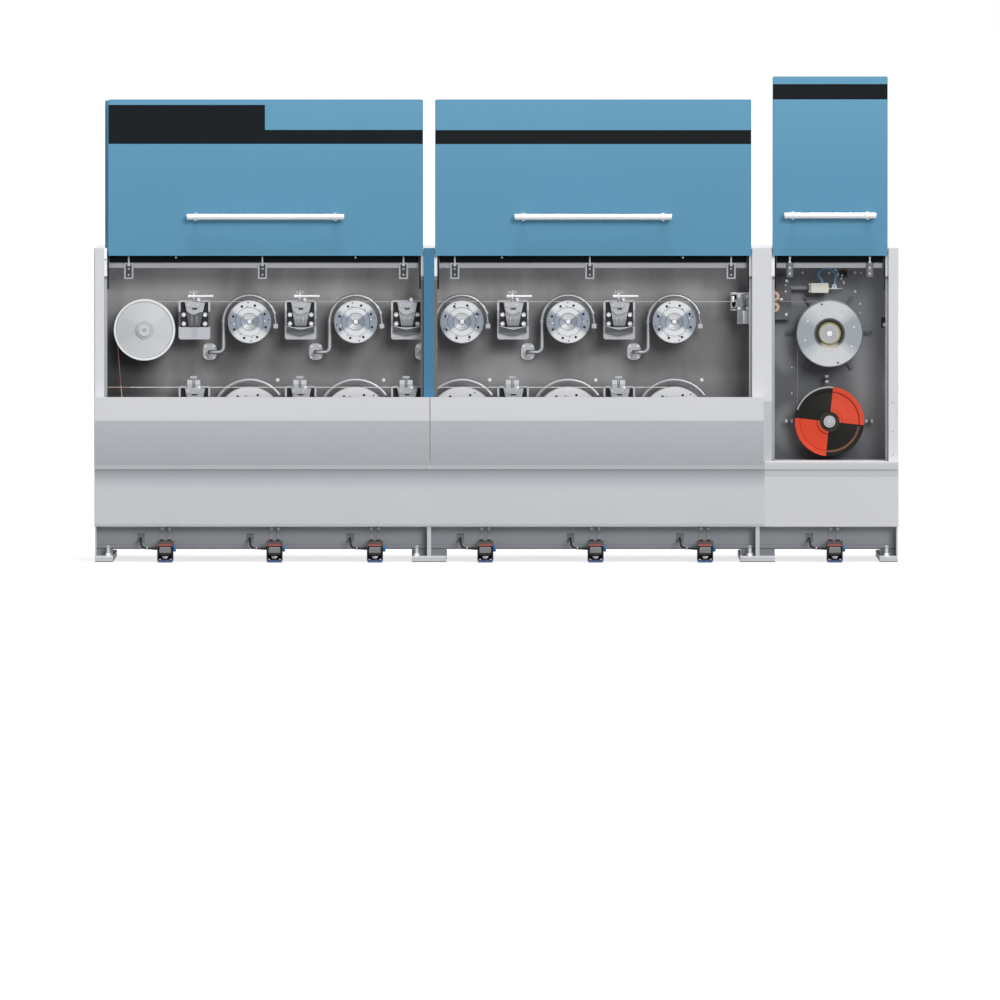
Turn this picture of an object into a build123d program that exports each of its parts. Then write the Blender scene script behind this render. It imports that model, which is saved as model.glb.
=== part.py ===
import os

from build123d import *

os.makedirs("parts", exist_ok=True)

# Overall stations along the machine
half_length = 2415
side_sheet = 6
end_post_width = 55
middle_post_width = 62
partition_inset = 821
partition_x = half_length - partition_inset
partition_post_width = 117
partition_sheet = 12

# Depths, the viewer stands at minus Y
face_y = -570
post_depth = 70
wall_front = -140
wall_sheet = 20
rear_y = 745
skirt_front = -606
skirt_sheet = 6
kick_depth = 110
kick_sheet = 6

# Heights above the floor
foot_plate_height = 36
kick_bottom = 75
base_bottom = 213
chamber_floor = 606
post_top = 1884
roof_sheet = 14
header_bottom = 1764
header_depth = 40
seal_bottom = 1797
seal_depth = 12

# Post strips that hide the door runners
strip_width = 18
strip_sheet = 4
strip_setback = 45

# Sliding doors, drawn raised
door_depth = 35
door_skin = 3
door_bottom = 1838
door_height = 938
right_door_height = 1076
door_side_gap = 7
left_door_side_gap = 27
door_corner = 6
runner_web = 6
runner_gap = 5
runner_setback = 56
runner_drop = 200

# Wire levels and the stages
upper_wire_z = 1559
wire_radius = 1.5
wire_seat = 0.3
wire_count = 4
wire_pitch = 32
wire_mid_y = -280
stage_count = 5
stage_drop = 516
first_stage_inset = 931
last_stage_gap = 524
first_stage_x = first_stage_inset - half_length
stage_pitch = (partition_x - last_stage_gap - first_stage_x) / (stage_count - 1)
middle_post_gap = 196.5
middle_post_x = first_stage_x + 2 * stage_pitch - middle_post_gap

# Upper capstans
upper_flange_radius = 130
upper_drum_radius = 119
capstan_front = -370
capstan_flange = 16
drum_length = 150
shaft_radius = 42
bearing_radius = 70
bearing_length = 34
shaft_clearance = 0.05
shaft_end_gap = 1
bolt_hole_radius = 6
bolt_hole_depth = 6
bolt_circle = 102.6
bolt_start = 26.5
puller_hole_radius = 5
puller_circle = 44
puller_hole_depth = 18

# Lower capstans
lower_flange_radius = 201
lower_drum_radius = 194
lower_bolt_circle = 158

# Spray pipes
pipe_radius = 12
upper_pipe_reach = 157
upper_pipe_end = 20
upper_pipe_fall = 184
pipe_bend = 32
pipe_offset = 85
nozzle_pipe_radius = 7
nozzle_size = 27
nozzle_drop = 27
ferrule_radius = 16
ferrule_length = 18
upper_ferrules = [20, 34, 180]
pipe_flange_width = 82
pipe_flange_height = 99
pipe_flange_sheet = 12
lower_pipe_radius = 13
lower_pipe_reach = 224
lower_pipe_rise = 16
lower_pipe_end = 36
lower_pipe_fall = 170

# Die holders
die_offset = -331
die_plate_width = 190
die_plate_height = 236
die_plate_sheet = 16
die_plate_front = -356
die_plate_rise = 9
die_plate_corner = 16
die_recess = 9
die_recess_top = -3
die_insert_width = 166
die_insert_height = 150
die_block_top = 126
die_block_foot = 66
die_block_height = 150
die_block_depth = 20
die_box_width = 140
die_box_drop = 12
die_cheek = 12
die_slot = 8
drip_half_width = 82
drip_top = 146
drip_dip = 20
drip_height = 40
drip_depth = 26

# Inlet pulley
inlet_inset = 299.4
inlet_x = inlet_inset - half_length
inlet_rim_radius = 184
inlet_groove_radius = 168
inlet_flange = 8
inlet_boss_radius = 51
inlet_nose_radius = 39
inlet_wire_lean = 4.8
return_roller_radius = 58
return_roller_z = 712

# Finishing section
finish_inset = 412
finish_x = half_length - finish_inset
finish_radius = 201
finish_groove_radius = 190
finish_recess_radius = 94
finish_hub_radius = 62
finish_recess_floor = 68
spider_reach = 258
spider_width = 20
spider_depth = 26
spider_angles = [0, 57, 123, 180, 237, 303]
return_z = 838
return_rim_radius = 208
return_rim_inner = 182
return_ring_outer = 72
return_ring_inner = 58
return_hub_radius = 37
exit_angle = 35.3

# Entry rollers of the finishing section
roller_inset = 80.6
roller_x = partition_x + roller_inset
roller_radius = 30
roller_width = 116
roller_pin_radius = 8
roller_gap = 6.4

# Front trays
tray_front = -650
tray_rim_z = 990
tray_band_z = 852
tray_foot_z = 582
tray_lip_z = 558
tray_sheet = 5
tray_seam_gap = 4
tray_seam_x = middle_post_x + 5.5
tray_end_x = partition_x + 9

# Foot switches
switch_stations = [-0.822, -0.5507, -0.3014, -0.0273, 0.2464, 0.5184, 0.8402]
switch_xs = [round(share * half_length) for share in switch_stations]
switch_width = 96
switch_height = 128
switch_length = 150
switch_front = -760
switch_base = 10
switch_wall = 8
treadle_length = 104
treadle_height = 38
treadle_gap = 5
treadle_pin_radius = 4
bracket_width = 22
bracket_sheet = 6
lead_radius = 6
gland_radius = 10
gland_length = 34

# Values that follow from those above
inner_half = half_length - side_sheet
post_back = face_y + post_depth
post_foot = base_bottom + skirt_sheet
roof_bottom = post_top - roof_sheet
upper_z = upper_wire_z - upper_drum_radius - wire_radius - wire_seat
lower_wire_z = upper_wire_z - stage_drop
lower_z = lower_wire_z - lower_drum_radius - wire_radius - wire_seat
inlet_z = upper_wire_z - inlet_groove_radius - wire_radius - wire_seat
finish_z = upper_wire_z - finish_groove_radius - wire_radius - wire_seat
stage_xs = [first_stage_x + stage_pitch * i for i in range(stage_count)]
drum_front = capstan_front + capstan_flange
drum_back = drum_front + drum_length
wire_ys = [wire_mid_y + wire_pitch * (i - (wire_count - 1) / 2) for i in range(wire_count)]
left_post_inner = -inner_half + end_post_width
right_post_inner = inner_half - end_post_width
middle_left = middle_post_x - middle_post_width / 2
middle_right = middle_post_x + middle_post_width / 2
partition_left = partition_x - partition_post_width / 2
partition_right = partition_x + partition_post_width / 2
runner_reach = strip_width + runner_gap + runner_web
wire_line = wire_radius + wire_seat


def save(shape, name):
    shape.label = name
    export_step(shape, f"parts/{name}.step")


# Base core, a closed box with a recessed foot
with BuildPart() as base_frame:
    with BuildSketch(Plane.YZ.offset(-inner_half)):
        with BuildLine():
            Polyline(
                (skirt_front + kick_depth + skirt_sheet + kick_sheet, kick_bottom),
                (skirt_front + kick_depth + skirt_sheet + kick_sheet, base_bottom),
                (post_back, base_bottom),
                (post_back, chamber_floor),
                (rear_y, chamber_floor),
                (rear_y, kick_bottom),
                close=True,
            )
        make_face()
    extrude(amount=2 * inner_half)
save(base_frame.part, "base_frame")

# Base skirt, folded sheet in front of the core
with BuildPart() as base_skirt:
    with BuildSketch(Plane.YZ.offset(-inner_half)):
        with BuildLine():
            Polyline(
                (face_y - 5, chamber_floor),
                (skirt_front, chamber_floor),
                (skirt_front, base_bottom),
                (post_back, base_bottom),
                (post_back, base_bottom + skirt_sheet),
                (skirt_front + skirt_sheet, base_bottom + skirt_sheet),
                (skirt_front + skirt_sheet, chamber_floor - skirt_sheet),
                (face_y - 5, chamber_floor - skirt_sheet),
                close=True,
            )
        make_face()
    extrude(amount=2 * inner_half)
save(base_skirt.part, "base_skirt")

# Kick panel
kick_front = skirt_front + kick_depth + skirt_sheet
lead_hole_width = 44
lead_hole_height = 57
lead_hole_offset = -150
lead_hole_z = 141
with BuildPart() as kick_panel:
    with BuildSketch(Plane.XZ.offset(-kick_front)):
        with Locations((0, (kick_bottom + base_bottom) / 2)):
            Rectangle(2 * inner_half, base_bottom - kick_bottom)
        with Locations([(x + lead_hole_offset, lead_hole_z) for x in switch_xs]):
            Rectangle(lead_hole_width, lead_hole_height, mode=Mode.SUBTRACT)
    extrude(amount=-kick_sheet)
save(kick_panel.part, "kick_panel")

# Cross feet, inverted T beams from front to rear
foot_width = 208
end_foot_width = 108
foot_web = 24
end_foot_web = 9
foot_front_plate = 12
foot_front = skirt_front + skirt_sheet
foot_xs = [middle_post_x, partition_x - 26]
with BuildPart() as cross_feet:
    for x, width, web, web_x in [
        (foot_xs[0], foot_width, foot_web, foot_xs[0]),
        (foot_xs[1], foot_width, foot_web, foot_xs[1]),
        (-inner_half + end_foot_width / 2, end_foot_width, end_foot_web, -inner_half + end_foot_web / 2),
        (inner_half - end_foot_width / 2, end_foot_width, end_foot_web, inner_half - end_foot_web / 2),
    ]:
        with Locations((x, (foot_front + rear_y) / 2, foot_plate_height / 2)):
            Box(width, rear_y - foot_front, foot_plate_height)
        with Locations((x, kick_front + foot_front_plate / 2, (foot_plate_height + kick_bottom) / 2)):
            Box(width, foot_front_plate, kick_bottom - foot_plate_height)
        with BuildSketch(Plane.YZ.offset(web_x - web / 2)):
            with BuildLine():
                Polyline(
                    (foot_front, foot_plate_height),
                    (foot_front, base_bottom),
                    (kick_front, base_bottom),
                    (kick_front, kick_bottom),
                    (rear_y, kick_bottom),
                    (rear_y, foot_plate_height),
                    close=True,
                )
            make_face()
        extrude(amount=web)
save(cross_feet.part, "cross_feet")

# Jack screws standing on the foot plates
jack_radius = 12
jack_height = 62
jack_head = 19
jack_head_height = 16
jack_y = face_y
jack_xs = [
    -inner_half + 80,
    foot_xs[0] - 74,
    foot_xs[1] - 46,
    inner_half - 66,
]
with BuildPart() as jack_screws:
    with BuildSketch(Plane.XY.offset(foot_plate_height)):
        with Locations([(x, jack_y) for x in jack_xs]):
            Circle(jack_radius)
    extrude(amount=jack_height)
    with BuildSketch(Plane.XY.offset(foot_plate_height)):
        with Locations([(x, jack_y) for x in jack_xs]):
            RegularPolygon(jack_head, 6)
    extrude(amount=jack_head_height)
save(jack_screws.part, "jack_screws")

# Front posts in light grey
with BuildPart() as frame_posts:
    for x, width in [
        (-inner_half + end_post_width / 2, end_post_width),
        (partition_x, partition_post_width),
        (inner_half - end_post_width / 2, end_post_width),
    ]:
        with BuildSketch(Plane.XY.offset(post_foot)):
            with Locations((x, face_y + post_depth / 2)):
                Rectangle(width, post_depth)
        extrude(amount=post_top - post_foot)
save(frame_posts.part, "frame_posts")

# Middle post in blue
with BuildPart() as middle_post:
    with BuildSketch(Plane.XY.offset(post_foot)):
        with Locations((middle_post_x, face_y + post_depth / 2)):
            Rectangle(middle_post_width, post_depth)
    extrude(amount=post_top - post_foot)
save(middle_post.part, "middle_post")

# Bright strips on the posts' sides with guide jaws, and the door catch at the top left
catch_depth = 25
catch_height = 66
jaw_width = 16
jaw_height = 60
jaw_gap = 0.5
jaw_zs = [800, 1700, 1800]
strip_back = face_y + strip_setback + strip_sheet
leg_front = face_y + runner_setback
leg_back = leg_front + runner_web
post_sides = [
    (left_post_inner, 1),
    (middle_left, -1),
    (middle_right, 1),
    (partition_left, -1),
    (partition_right, 1),
    (right_post_inner, -1),
]
with BuildPart() as runner_strips:
    with BuildSketch(Plane.XY.offset(post_foot)):
        for edge, side in post_sides:
            with Locations((edge + side * strip_width / 2, strip_back - strip_sheet / 2)):
                Rectangle(strip_width, strip_sheet)
    extrude(amount=post_top - post_foot)
    with Locations(
        (
            left_post_inner + strip_width / 2,
            face_y + strip_setback - catch_depth / 2,
            post_top - catch_height / 2,
        )
    ):
        Box(strip_width, catch_depth, catch_height)
    for z in jaw_zs:
        with BuildSketch(Plane.XY.offset(z - jaw_height / 2)):
            for edge, side in post_sides:
                with Locations((edge + side * jaw_width / 2, (strip_back + leg_front - jaw_gap) / 2)):
                    Rectangle(jaw_width, leg_front - jaw_gap - strip_back)
                with Locations((edge + side * jaw_width / 2, (leg_back + jaw_gap + post_back) / 2)):
                    Rectangle(jaw_width, post_back - leg_back - jaw_gap)
        extrude(amount=jaw_height)
save(runner_strips.part, "runner_strips")

# End walls with the wire holes
wire_hole_radius = 45
exit_x = inner_half
exit_start_x = finish_x + (finish_groove_radius + wire_line) * 0.8161
exit_start_z = finish_z + (finish_groove_radius + wire_line) * 0.5779
exit_z = exit_start_z - (exit_x - exit_start_x) * 1.4124
with BuildPart() as end_walls:
    for x in [-half_length, inner_half]:
        with BuildSketch(Plane.YZ.offset(x)):
            with BuildLine():
                Polyline(
                    (skirt_front, base_bottom),
                    (skirt_front, chamber_floor),
                    (post_back, chamber_floor),
                    (post_back, post_top),
                    (rear_y, post_top),
                    (rear_y, base_bottom),
                    close=True,
                )
            make_face()
        extrude(amount=side_sheet)
    with BuildSketch(Plane.YZ.offset(-half_length)):
        with Locations((wire_mid_y, lower_wire_z)):
            SlotOverall(3 * wire_hole_radius, 2 * wire_hole_radius)
    extrude(amount=side_sheet, mode=Mode.SUBTRACT)
    with BuildSketch(Plane.YZ.offset(inner_half)):
        with Locations((wire_mid_y, exit_z)):
            SlotOverall(3 * wire_hole_radius, 2 * wire_hole_radius)
    extrude(amount=side_sheet, mode=Mode.SUBTRACT)
save(end_walls.part, "end_walls")

# Partition behind the third post, cut for the wires
partition_cut_height = 90
partition_cut_depth = 140
with BuildPart() as partition_wall:
    with BuildSketch(Plane.YZ.offset(partition_x - partition_sheet / 2)):
        with Locations(((post_back + wall_front + wall_sheet) / 2, (chamber_floor + roof_bottom) / 2)):
            Rectangle(wall_front + wall_sheet - post_back, roof_bottom - chamber_floor)
        with Locations((wire_mid_y, upper_wire_z)):
            Rectangle(partition_cut_depth, partition_cut_height, mode=Mode.SUBTRACT)
    extrude(amount=partition_sheet)
save(partition_wall.part, "partition_wall")

# Process wall of brushed sheet behind the drawing stages
with BuildPart() as process_wall:
    with BuildSketch(Plane.XZ.offset(-wall_front)):
        with Locations(
            (
                (partition_x - partition_sheet / 2 - inner_half) / 2,
                (chamber_floor + roof_bottom) / 2,
            )
        ):
            Rectangle(inner_half + partition_x - partition_sheet / 2, roof_bottom - chamber_floor)
    extrude(amount=-wall_sheet)
save(process_wall.part, "process_wall")

# Darker wall of the finishing section
with BuildPart() as finishing_wall:
    with BuildSketch(Plane.XZ.offset(-wall_front)):
        with Locations(
            (
                (partition_x + partition_sheet / 2 + inner_half) / 2,
                (chamber_floor + roof_bottom) / 2,
            )
        ):
            Rectangle(inner_half - partition_x - partition_sheet / 2, roof_bottom - chamber_floor)
    extrude(amount=-wall_sheet)
save(finishing_wall.part, "finishing_wall")

# Closed rear housing for the drives
with BuildPart() as rear_housing:
    with Locations((0, (wall_front + wall_sheet + rear_y) / 2, (chamber_floor + roof_bottom) / 2)):
        Box(2 * inner_half, rear_y - wall_front - wall_sheet, roof_bottom - chamber_floor)
save(rear_housing.part, "rear_housing")

# Roof panel
with BuildPart() as roof_panel:
    with Locations((0, (post_back + rear_y) / 2, roof_bottom + roof_sheet / 2)):
        Box(2 * inner_half, rear_y - post_back, roof_sheet)
save(roof_panel.part, "roof_panel")

# Rear access panels
panel_sheet = 15
panel_count = 5
panel_gap = 12
panel_margin = 40
panel_height = 1540
panel_pitch = (2 * inner_half - 2 * panel_margin + panel_gap) / panel_count
with BuildPart() as access_panels:
    with BuildSketch(Plane.XZ.offset(-rear_y)):
        with Locations((0, base_bottom + panel_margin + panel_height / 2)):
            with GridLocations(panel_pitch, 1, panel_count, 1):
                RectangleRounded(panel_pitch - panel_gap, panel_height, 12)
    extrude(amount=-panel_sheet)
save(access_panels.part, "access_panels")

# Header beams over the chambers with their hanging brackets
handle_offset = 20
bracket_drop = 66
header_bracket_sheet = 8
header_bracket_width = 54
header_bracket_height = 96
end_bracket_inset = 147
middle_bracket_inset = 123
partition_bracket_inset = 126
header_bracket_xs = [
    left_post_inner + end_bracket_inset,
    first_stage_x + stage_pitch / 8,
    middle_left - middle_bracket_inset,
    middle_right + middle_bracket_inset,
    (middle_right + partition_left) / 2 - handle_offset,
    partition_left - partition_bracket_inset,
]
right_bracket_xs = [partition_right + 109, right_post_inner - 112]
right_bracket_radius = 22
bracket_frame = 9
bracket_pocket = 3
stud_radius = 5
stud_y = post_back - seal_depth - stud_radius
lug_height = 10
nut_radius = 8
nut_height = 9
bays = [
    (-inner_half, partition_x - partition_sheet / 2),
    (partition_x + partition_sheet / 2, inner_half),
]
with BuildPart() as header_rails:
    for start, end in bays:
        with BuildSketch(Plane.YZ.offset(start)):
            with Locations((post_back + header_depth / 2, (header_bottom + roof_bottom) / 2)):
                Rectangle(header_depth, roof_bottom - header_bottom)
        extrude(amount=end - start)
    with BuildSketch(Plane.XZ.offset(-post_back)):
        with Locations([(x, header_bottom - bracket_drop + header_bracket_height / 2) for x in header_bracket_xs]):
            Rectangle(header_bracket_width, header_bracket_height)
    extrude(amount=header_bracket_sheet)
    # Each bracket has a framed pocket for its two bolts
    with BuildSketch(Plane.XZ.offset(-post_back + header_bracket_sheet - bracket_pocket)):
        with Locations([(x, header_bottom - bracket_drop + header_bracket_height / 2) for x in header_bracket_xs]):
            Rectangle(header_bracket_width - 2 * bracket_frame, header_bracket_height - 2 * bracket_frame)
    extrude(amount=bracket_pocket, mode=Mode.SUBTRACT)
    # A lug on top of each carries a stud and its nut before the seal
    bracket_top_z = header_bottom - bracket_drop + header_bracket_height - nut_height
    with BuildSketch(Plane.XY.offset(bracket_top_z - lug_height)):
        with Locations([(x, (post_back + stud_y - nut_radius / 2) / 2) for x in header_bracket_xs]):
            Rectangle(2 * nut_radius, post_back - stud_y + nut_radius / 2)
    extrude(amount=lug_height)
    with BuildSketch(Plane.XY.offset(bracket_top_z)):
        with Locations([(x, stud_y) for x in header_bracket_xs]):
            Circle(stud_radius)
    extrude(amount=seal_bottom - bracket_top_z + 36)
    with BuildSketch(Plane.XY.offset(bracket_top_z)):
        with Locations([(x, stud_y) for x in header_bracket_xs]):
            RegularPolygon(nut_radius, 6)
    extrude(amount=nut_height)
    # The finishing section hangs its guide tubes instead
    with BuildSketch(Plane.XY.offset(header_bottom - bracket_drop + 12)):
        with Locations([(x, post_back) for x in right_bracket_xs]):
            Circle(right_bracket_radius)
    extrude(amount=header_bracket_height - 12)
save(header_rails.part, "header_rails")

# Black seal bars over the header beams
seal_inset = runner_reach + runner_gap
door_bays = [
    (left_post_inner, middle_left),
    (middle_right, partition_left),
    (partition_right, right_post_inner),
]
with BuildPart() as header_seals:
    for start, end in door_bays:
        with BuildSketch(Plane.YZ.offset(start + seal_inset)):
            with Locations((post_back - seal_depth / 2, (seal_bottom + roof_bottom) / 2)):
                Rectangle(seal_depth, roof_bottom - seal_bottom)
        extrude(amount=end - start - 2 * seal_inset)
save(header_seals.part, "header_seals")

# Sliding doors, folded trays with Z runners at both edges
handle_radius = 20
handle_standoff = 62
handle_foot = 26
left_door_span = (left_post_inner + left_door_side_gap, middle_left - door_side_gap)
middle_door_span = (middle_right + door_side_gap, partition_left - door_side_gap)
right_door_span = (partition_right + door_side_gap, right_post_inner - door_side_gap)
doors = [
    ("left_door", left_door_span, door_bays[0], door_height, 942, 234),
    ("middle_door", middle_door_span, door_bays[1], door_height, 942, 234),
    ("right_door", right_door_span, door_bays[2], right_door_height, 550, 242),
]
handle_feet = {"left_door": 838, "middle_door": 838, "right_door": 448}
for name, (start, end), (bay_start, bay_end), height, handle_length, handle_rise in doors:
    with BuildPart() as door:
        with BuildSketch(Plane.XZ.offset(-face_y)):
            with Locations(((start + end) / 2, door_bottom + height / 2)):
                RectangleRounded(end - start, height, door_corner)
        extrude(amount=-door_depth)
        back = door.faces().sort_by(Axis.Y)[-1]
        offset(amount=-door_skin, openings=back)
        for edge, side in [(bay_start, 1), (bay_end, -1)]:
            web_x = edge + side * (strip_width + runner_gap)
            low_z = door_bottom - runner_drop
            with BuildSketch(Plane.XY.offset(low_z)):
                with BuildLine():
                    Polyline(
                        (web_x, face_y + door_depth - door_skin),
                        (web_x, face_y + runner_setback),
                        (edge + side * runner_gap, face_y + runner_setback),
                        (edge + side * runner_gap, face_y + runner_setback + runner_web),
                        (web_x + side * runner_web, face_y + runner_setback + runner_web),
                        (web_x + side * runner_web, face_y + door_depth - door_skin),
                        close=True,
                    )
                make_face()
            extrude(amount=runner_drop + height - door_corner)
        # A cleat ties each runner to the tray from behind
        for edge, side in [(bay_start, 1), (bay_end, -1)]:
            web_x = edge + side * (strip_width + runner_gap)
            cleat = 36
            with Locations((web_x + side * cleat / 2, face_y + door_depth / 2, door_bottom + height / 2)):
                Box(cleat, door_depth - 2 * door_skin, height - 8 * door_corner)
    save(door.part, name)
    centre_x = (start + end) / 2
    with BuildPart() as handle:
        for x in [centre_x - handle_feet[name] / 2, centre_x + handle_feet[name] / 2]:
            with BuildSketch(Plane.XZ.offset(-face_y)):
                with Locations((x, door_bottom + handle_rise)):
                    SlotOverall(handle_foot * 1.9, handle_foot, rotation=90)
            extrude(amount=handle_standoff)
        with BuildSketch(Plane.YZ.offset(centre_x - handle_length / 2)):
            with Locations((face_y - handle_standoff, door_bottom + handle_rise)):
                Circle(handle_radius)
        extrude(amount=handle_length)
    save(handle.part, f"{name}_handle")

# Upper capstan, a turned drum with a dished face and drilled flange
with BuildPart() as upper_capstan:
    with BuildSketch(Plane.XY):
        with BuildLine():
            Polyline(
                (0, capstan_front + 4),
                (14, capstan_front + 4),
                (18, capstan_front + 14),
                (50, capstan_front + 10),
                (54, capstan_front + 5),
                (84, capstan_front + 5),
                (88, capstan_front),
                (upper_flange_radius - 4, capstan_front),
                (upper_flange_radius, capstan_front + 4),
                (upper_flange_radius, drum_front - 4),
                (upper_drum_radius, drum_front),
                (upper_drum_radius, drum_back),
                (upper_flange_radius - 4, drum_back + 6),
                (upper_flange_radius - 4, drum_back + capstan_flange),
                (shaft_radius, drum_back + capstan_flange),
                (shaft_radius, wall_front - shaft_end_gap),
                (0, wall_front - shaft_end_gap),
                close=True,
            )
        make_face()
    revolve(axis=Axis.Y)
    with Locations(Plane((0, capstan_front, 0), z_dir=(0, -1, 0))):
        with PolarLocations(bolt_circle, 8, start_angle=bolt_start):
            Hole(bolt_hole_radius, depth=bolt_hole_depth)
        with PolarLocations(puller_circle, 2, start_angle=50):
            Hole(puller_hole_radius, depth=puller_hole_depth)
for number, x in enumerate(stage_xs, 1):
    save(Location((x, 0, upper_z)) * upper_capstan.part, f"upper_capstan_{number}")

# Lower capstan, the same form on a larger drum
with BuildPart() as lower_capstan:
    with BuildSketch(Plane.XY):
        with BuildLine():
            Polyline(
                (0, capstan_front + 4),
                (24, capstan_front + 4),
                (30, capstan_front + 16),
                (84, capstan_front + 12),
                (90, capstan_front + 5),
                (132, capstan_front + 5),
                (138, capstan_front),
                (lower_flange_radius - 4, capstan_front),
                (lower_flange_radius, capstan_front + 4),
                (lower_flange_radius, drum_front - 4),
                (lower_drum_radius, drum_front),
                (lower_drum_radius, drum_back),
                (lower_flange_radius - 2, drum_back + 6),
                (lower_flange_radius - 2, drum_back + capstan_flange),
                (shaft_radius, drum_back + capstan_flange),
                (shaft_radius, wall_front - shaft_end_gap),
                (0, wall_front - shaft_end_gap),
                close=True,
            )
        make_face()
    revolve(axis=Axis.Y)
    with Locations(Plane((0, capstan_front, 0), z_dir=(0, -1, 0))):
        with PolarLocations(lower_bolt_circle, 8, start_angle=bolt_start):
            Hole(bolt_hole_radius, depth=bolt_hole_depth)
for number, x in enumerate(stage_xs, 1):
    save(Location((x, 0, lower_z)) * lower_capstan.part, f"lower_capstan_{number}")

# Inlet pulley, a shallow turned cone with a deep groove
inlet_half_width = 58
inlet_front = wire_mid_y - inlet_half_width
inlet_back = wire_mid_y + inlet_half_width
with BuildPart() as inlet_pulley:
    with BuildSketch(Plane.XY):
        with BuildLine():
            Polyline(
                (0, inlet_front - 34),
                (inlet_nose_radius, inlet_front - 34),
                (inlet_nose_radius, inlet_front - 22),
                (inlet_boss_radius, inlet_front - 22),
                (inlet_boss_radius, inlet_front - 8),
                (inlet_rim_radius - 18, inlet_front - inlet_flange + 6),
                (inlet_rim_radius - 12, inlet_front - inlet_flange),
                (inlet_rim_radius, inlet_front - inlet_flange),
                (inlet_rim_radius, inlet_front - 2),
                (inlet_groove_radius, inlet_front + 4),
                (inlet_groove_radius, inlet_back - 4),
                (inlet_rim_radius, inlet_back + 2),
                (inlet_rim_radius, inlet_back + inlet_flange),
                (shaft_radius, inlet_back + 3 * inlet_flange),
                (shaft_radius, wall_front - shaft_end_gap),
                (0, wall_front - shaft_end_gap),
                close=True,
            )
        make_face()
    revolve(axis=Axis.Y)
save(Location((inlet_x, 0, inlet_z)) * inlet_pulley.part, "inlet_pulley")

# Finishing capstan with a conical recess round its hub
finish_front = -380
finish_drum_front = finish_front + 42
finish_drum_back = finish_drum_front + 116
finish_bolt_circle = 152.4
with BuildPart() as finishing_capstan:
    with BuildSketch(Plane.XY):
        with BuildLine():
            Polyline(
                (0, finish_front + 6),
                (finish_hub_radius, finish_front + 6),
                (finish_hub_radius, finish_front + 26),
                (finish_recess_floor, finish_front + 26),
                (finish_recess_radius, finish_front),
                (finish_radius - 6, finish_front),
                (finish_radius, finish_front + 6),
                (finish_radius, finish_drum_front - 8),
                (finish_groove_radius, finish_drum_front),
                (finish_groove_radius, finish_drum_back),
                (finish_radius, finish_drum_back + 4),
                (finish_radius, finish_drum_back + 10),
                (shaft_radius, finish_drum_back + 10),
                (shaft_radius, wall_front - shaft_end_gap),
                (0, wall_front - shaft_end_gap),
                close=True,
            )
        make_face()
    revolve(axis=Axis.Y)
    with Locations(Plane((0, finish_front, 0), z_dir=(0, -1, 0))):
        with PolarLocations(finish_bolt_circle, 8, start_angle=15):
            Hole(bolt_hole_radius + 2, depth=bolt_hole_depth)
save(Location((finish_x, 0, finish_z)) * finishing_capstan.part, "finishing_capstan")

# Return pulley with a raised rim lip and hub ring
return_half_width = 58
return_front = wire_mid_y - return_half_width
return_back = wire_mid_y + return_half_width
with BuildPart() as return_pulley:
    with BuildSketch(Plane.XY):
        with BuildLine():
            Polyline(
                (0, return_front - 30),
                (return_hub_radius, return_front - 30),
                (return_hub_radius, return_front - 14),
                (return_ring_inner, return_front - 14),
                (return_ring_inner, return_front - 22),
                (return_ring_outer, return_front - 22),
                (return_ring_outer, return_front - 8),
                (return_rim_inner, return_front),
                (return_rim_inner, return_front - 16),
                (return_rim_radius, return_front - 16),
                (return_rim_radius, return_front - 4),
                (finish_groove_radius, return_front + 6),
                (finish_groove_radius, return_back - 6),
                (return_rim_radius, return_back + 4),
                (return_rim_radius, return_back + 12),
                (shaft_radius, return_back + 30),
                (shaft_radius, wall_front - shaft_end_gap),
                (0, wall_front - shaft_end_gap),
                close=True,
            )
        make_face()
    revolve(axis=Axis.Y)
save(Location((finish_x, 0, return_z)) * return_pulley.part, "return_pulley")

# Bearing housings on the walls, one behind each rotor
rotor_points = [(x, upper_z) for x in stage_xs]
rotor_points += [(x, lower_z) for x in stage_xs]
rotor_points += [(inlet_x, inlet_z), (finish_x, finish_z), (finish_x, return_z)]
with BuildPart() as bearing_housings:
    with BuildSketch(Plane.XZ.offset(-wall_front)):
        with Locations(rotor_points):
            Circle(bearing_radius)
            Circle(shaft_radius + shaft_clearance, mode=Mode.SUBTRACT)
    extrude(amount=bearing_length)
save(bearing_housings.part, "bearing_housings")

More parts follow.
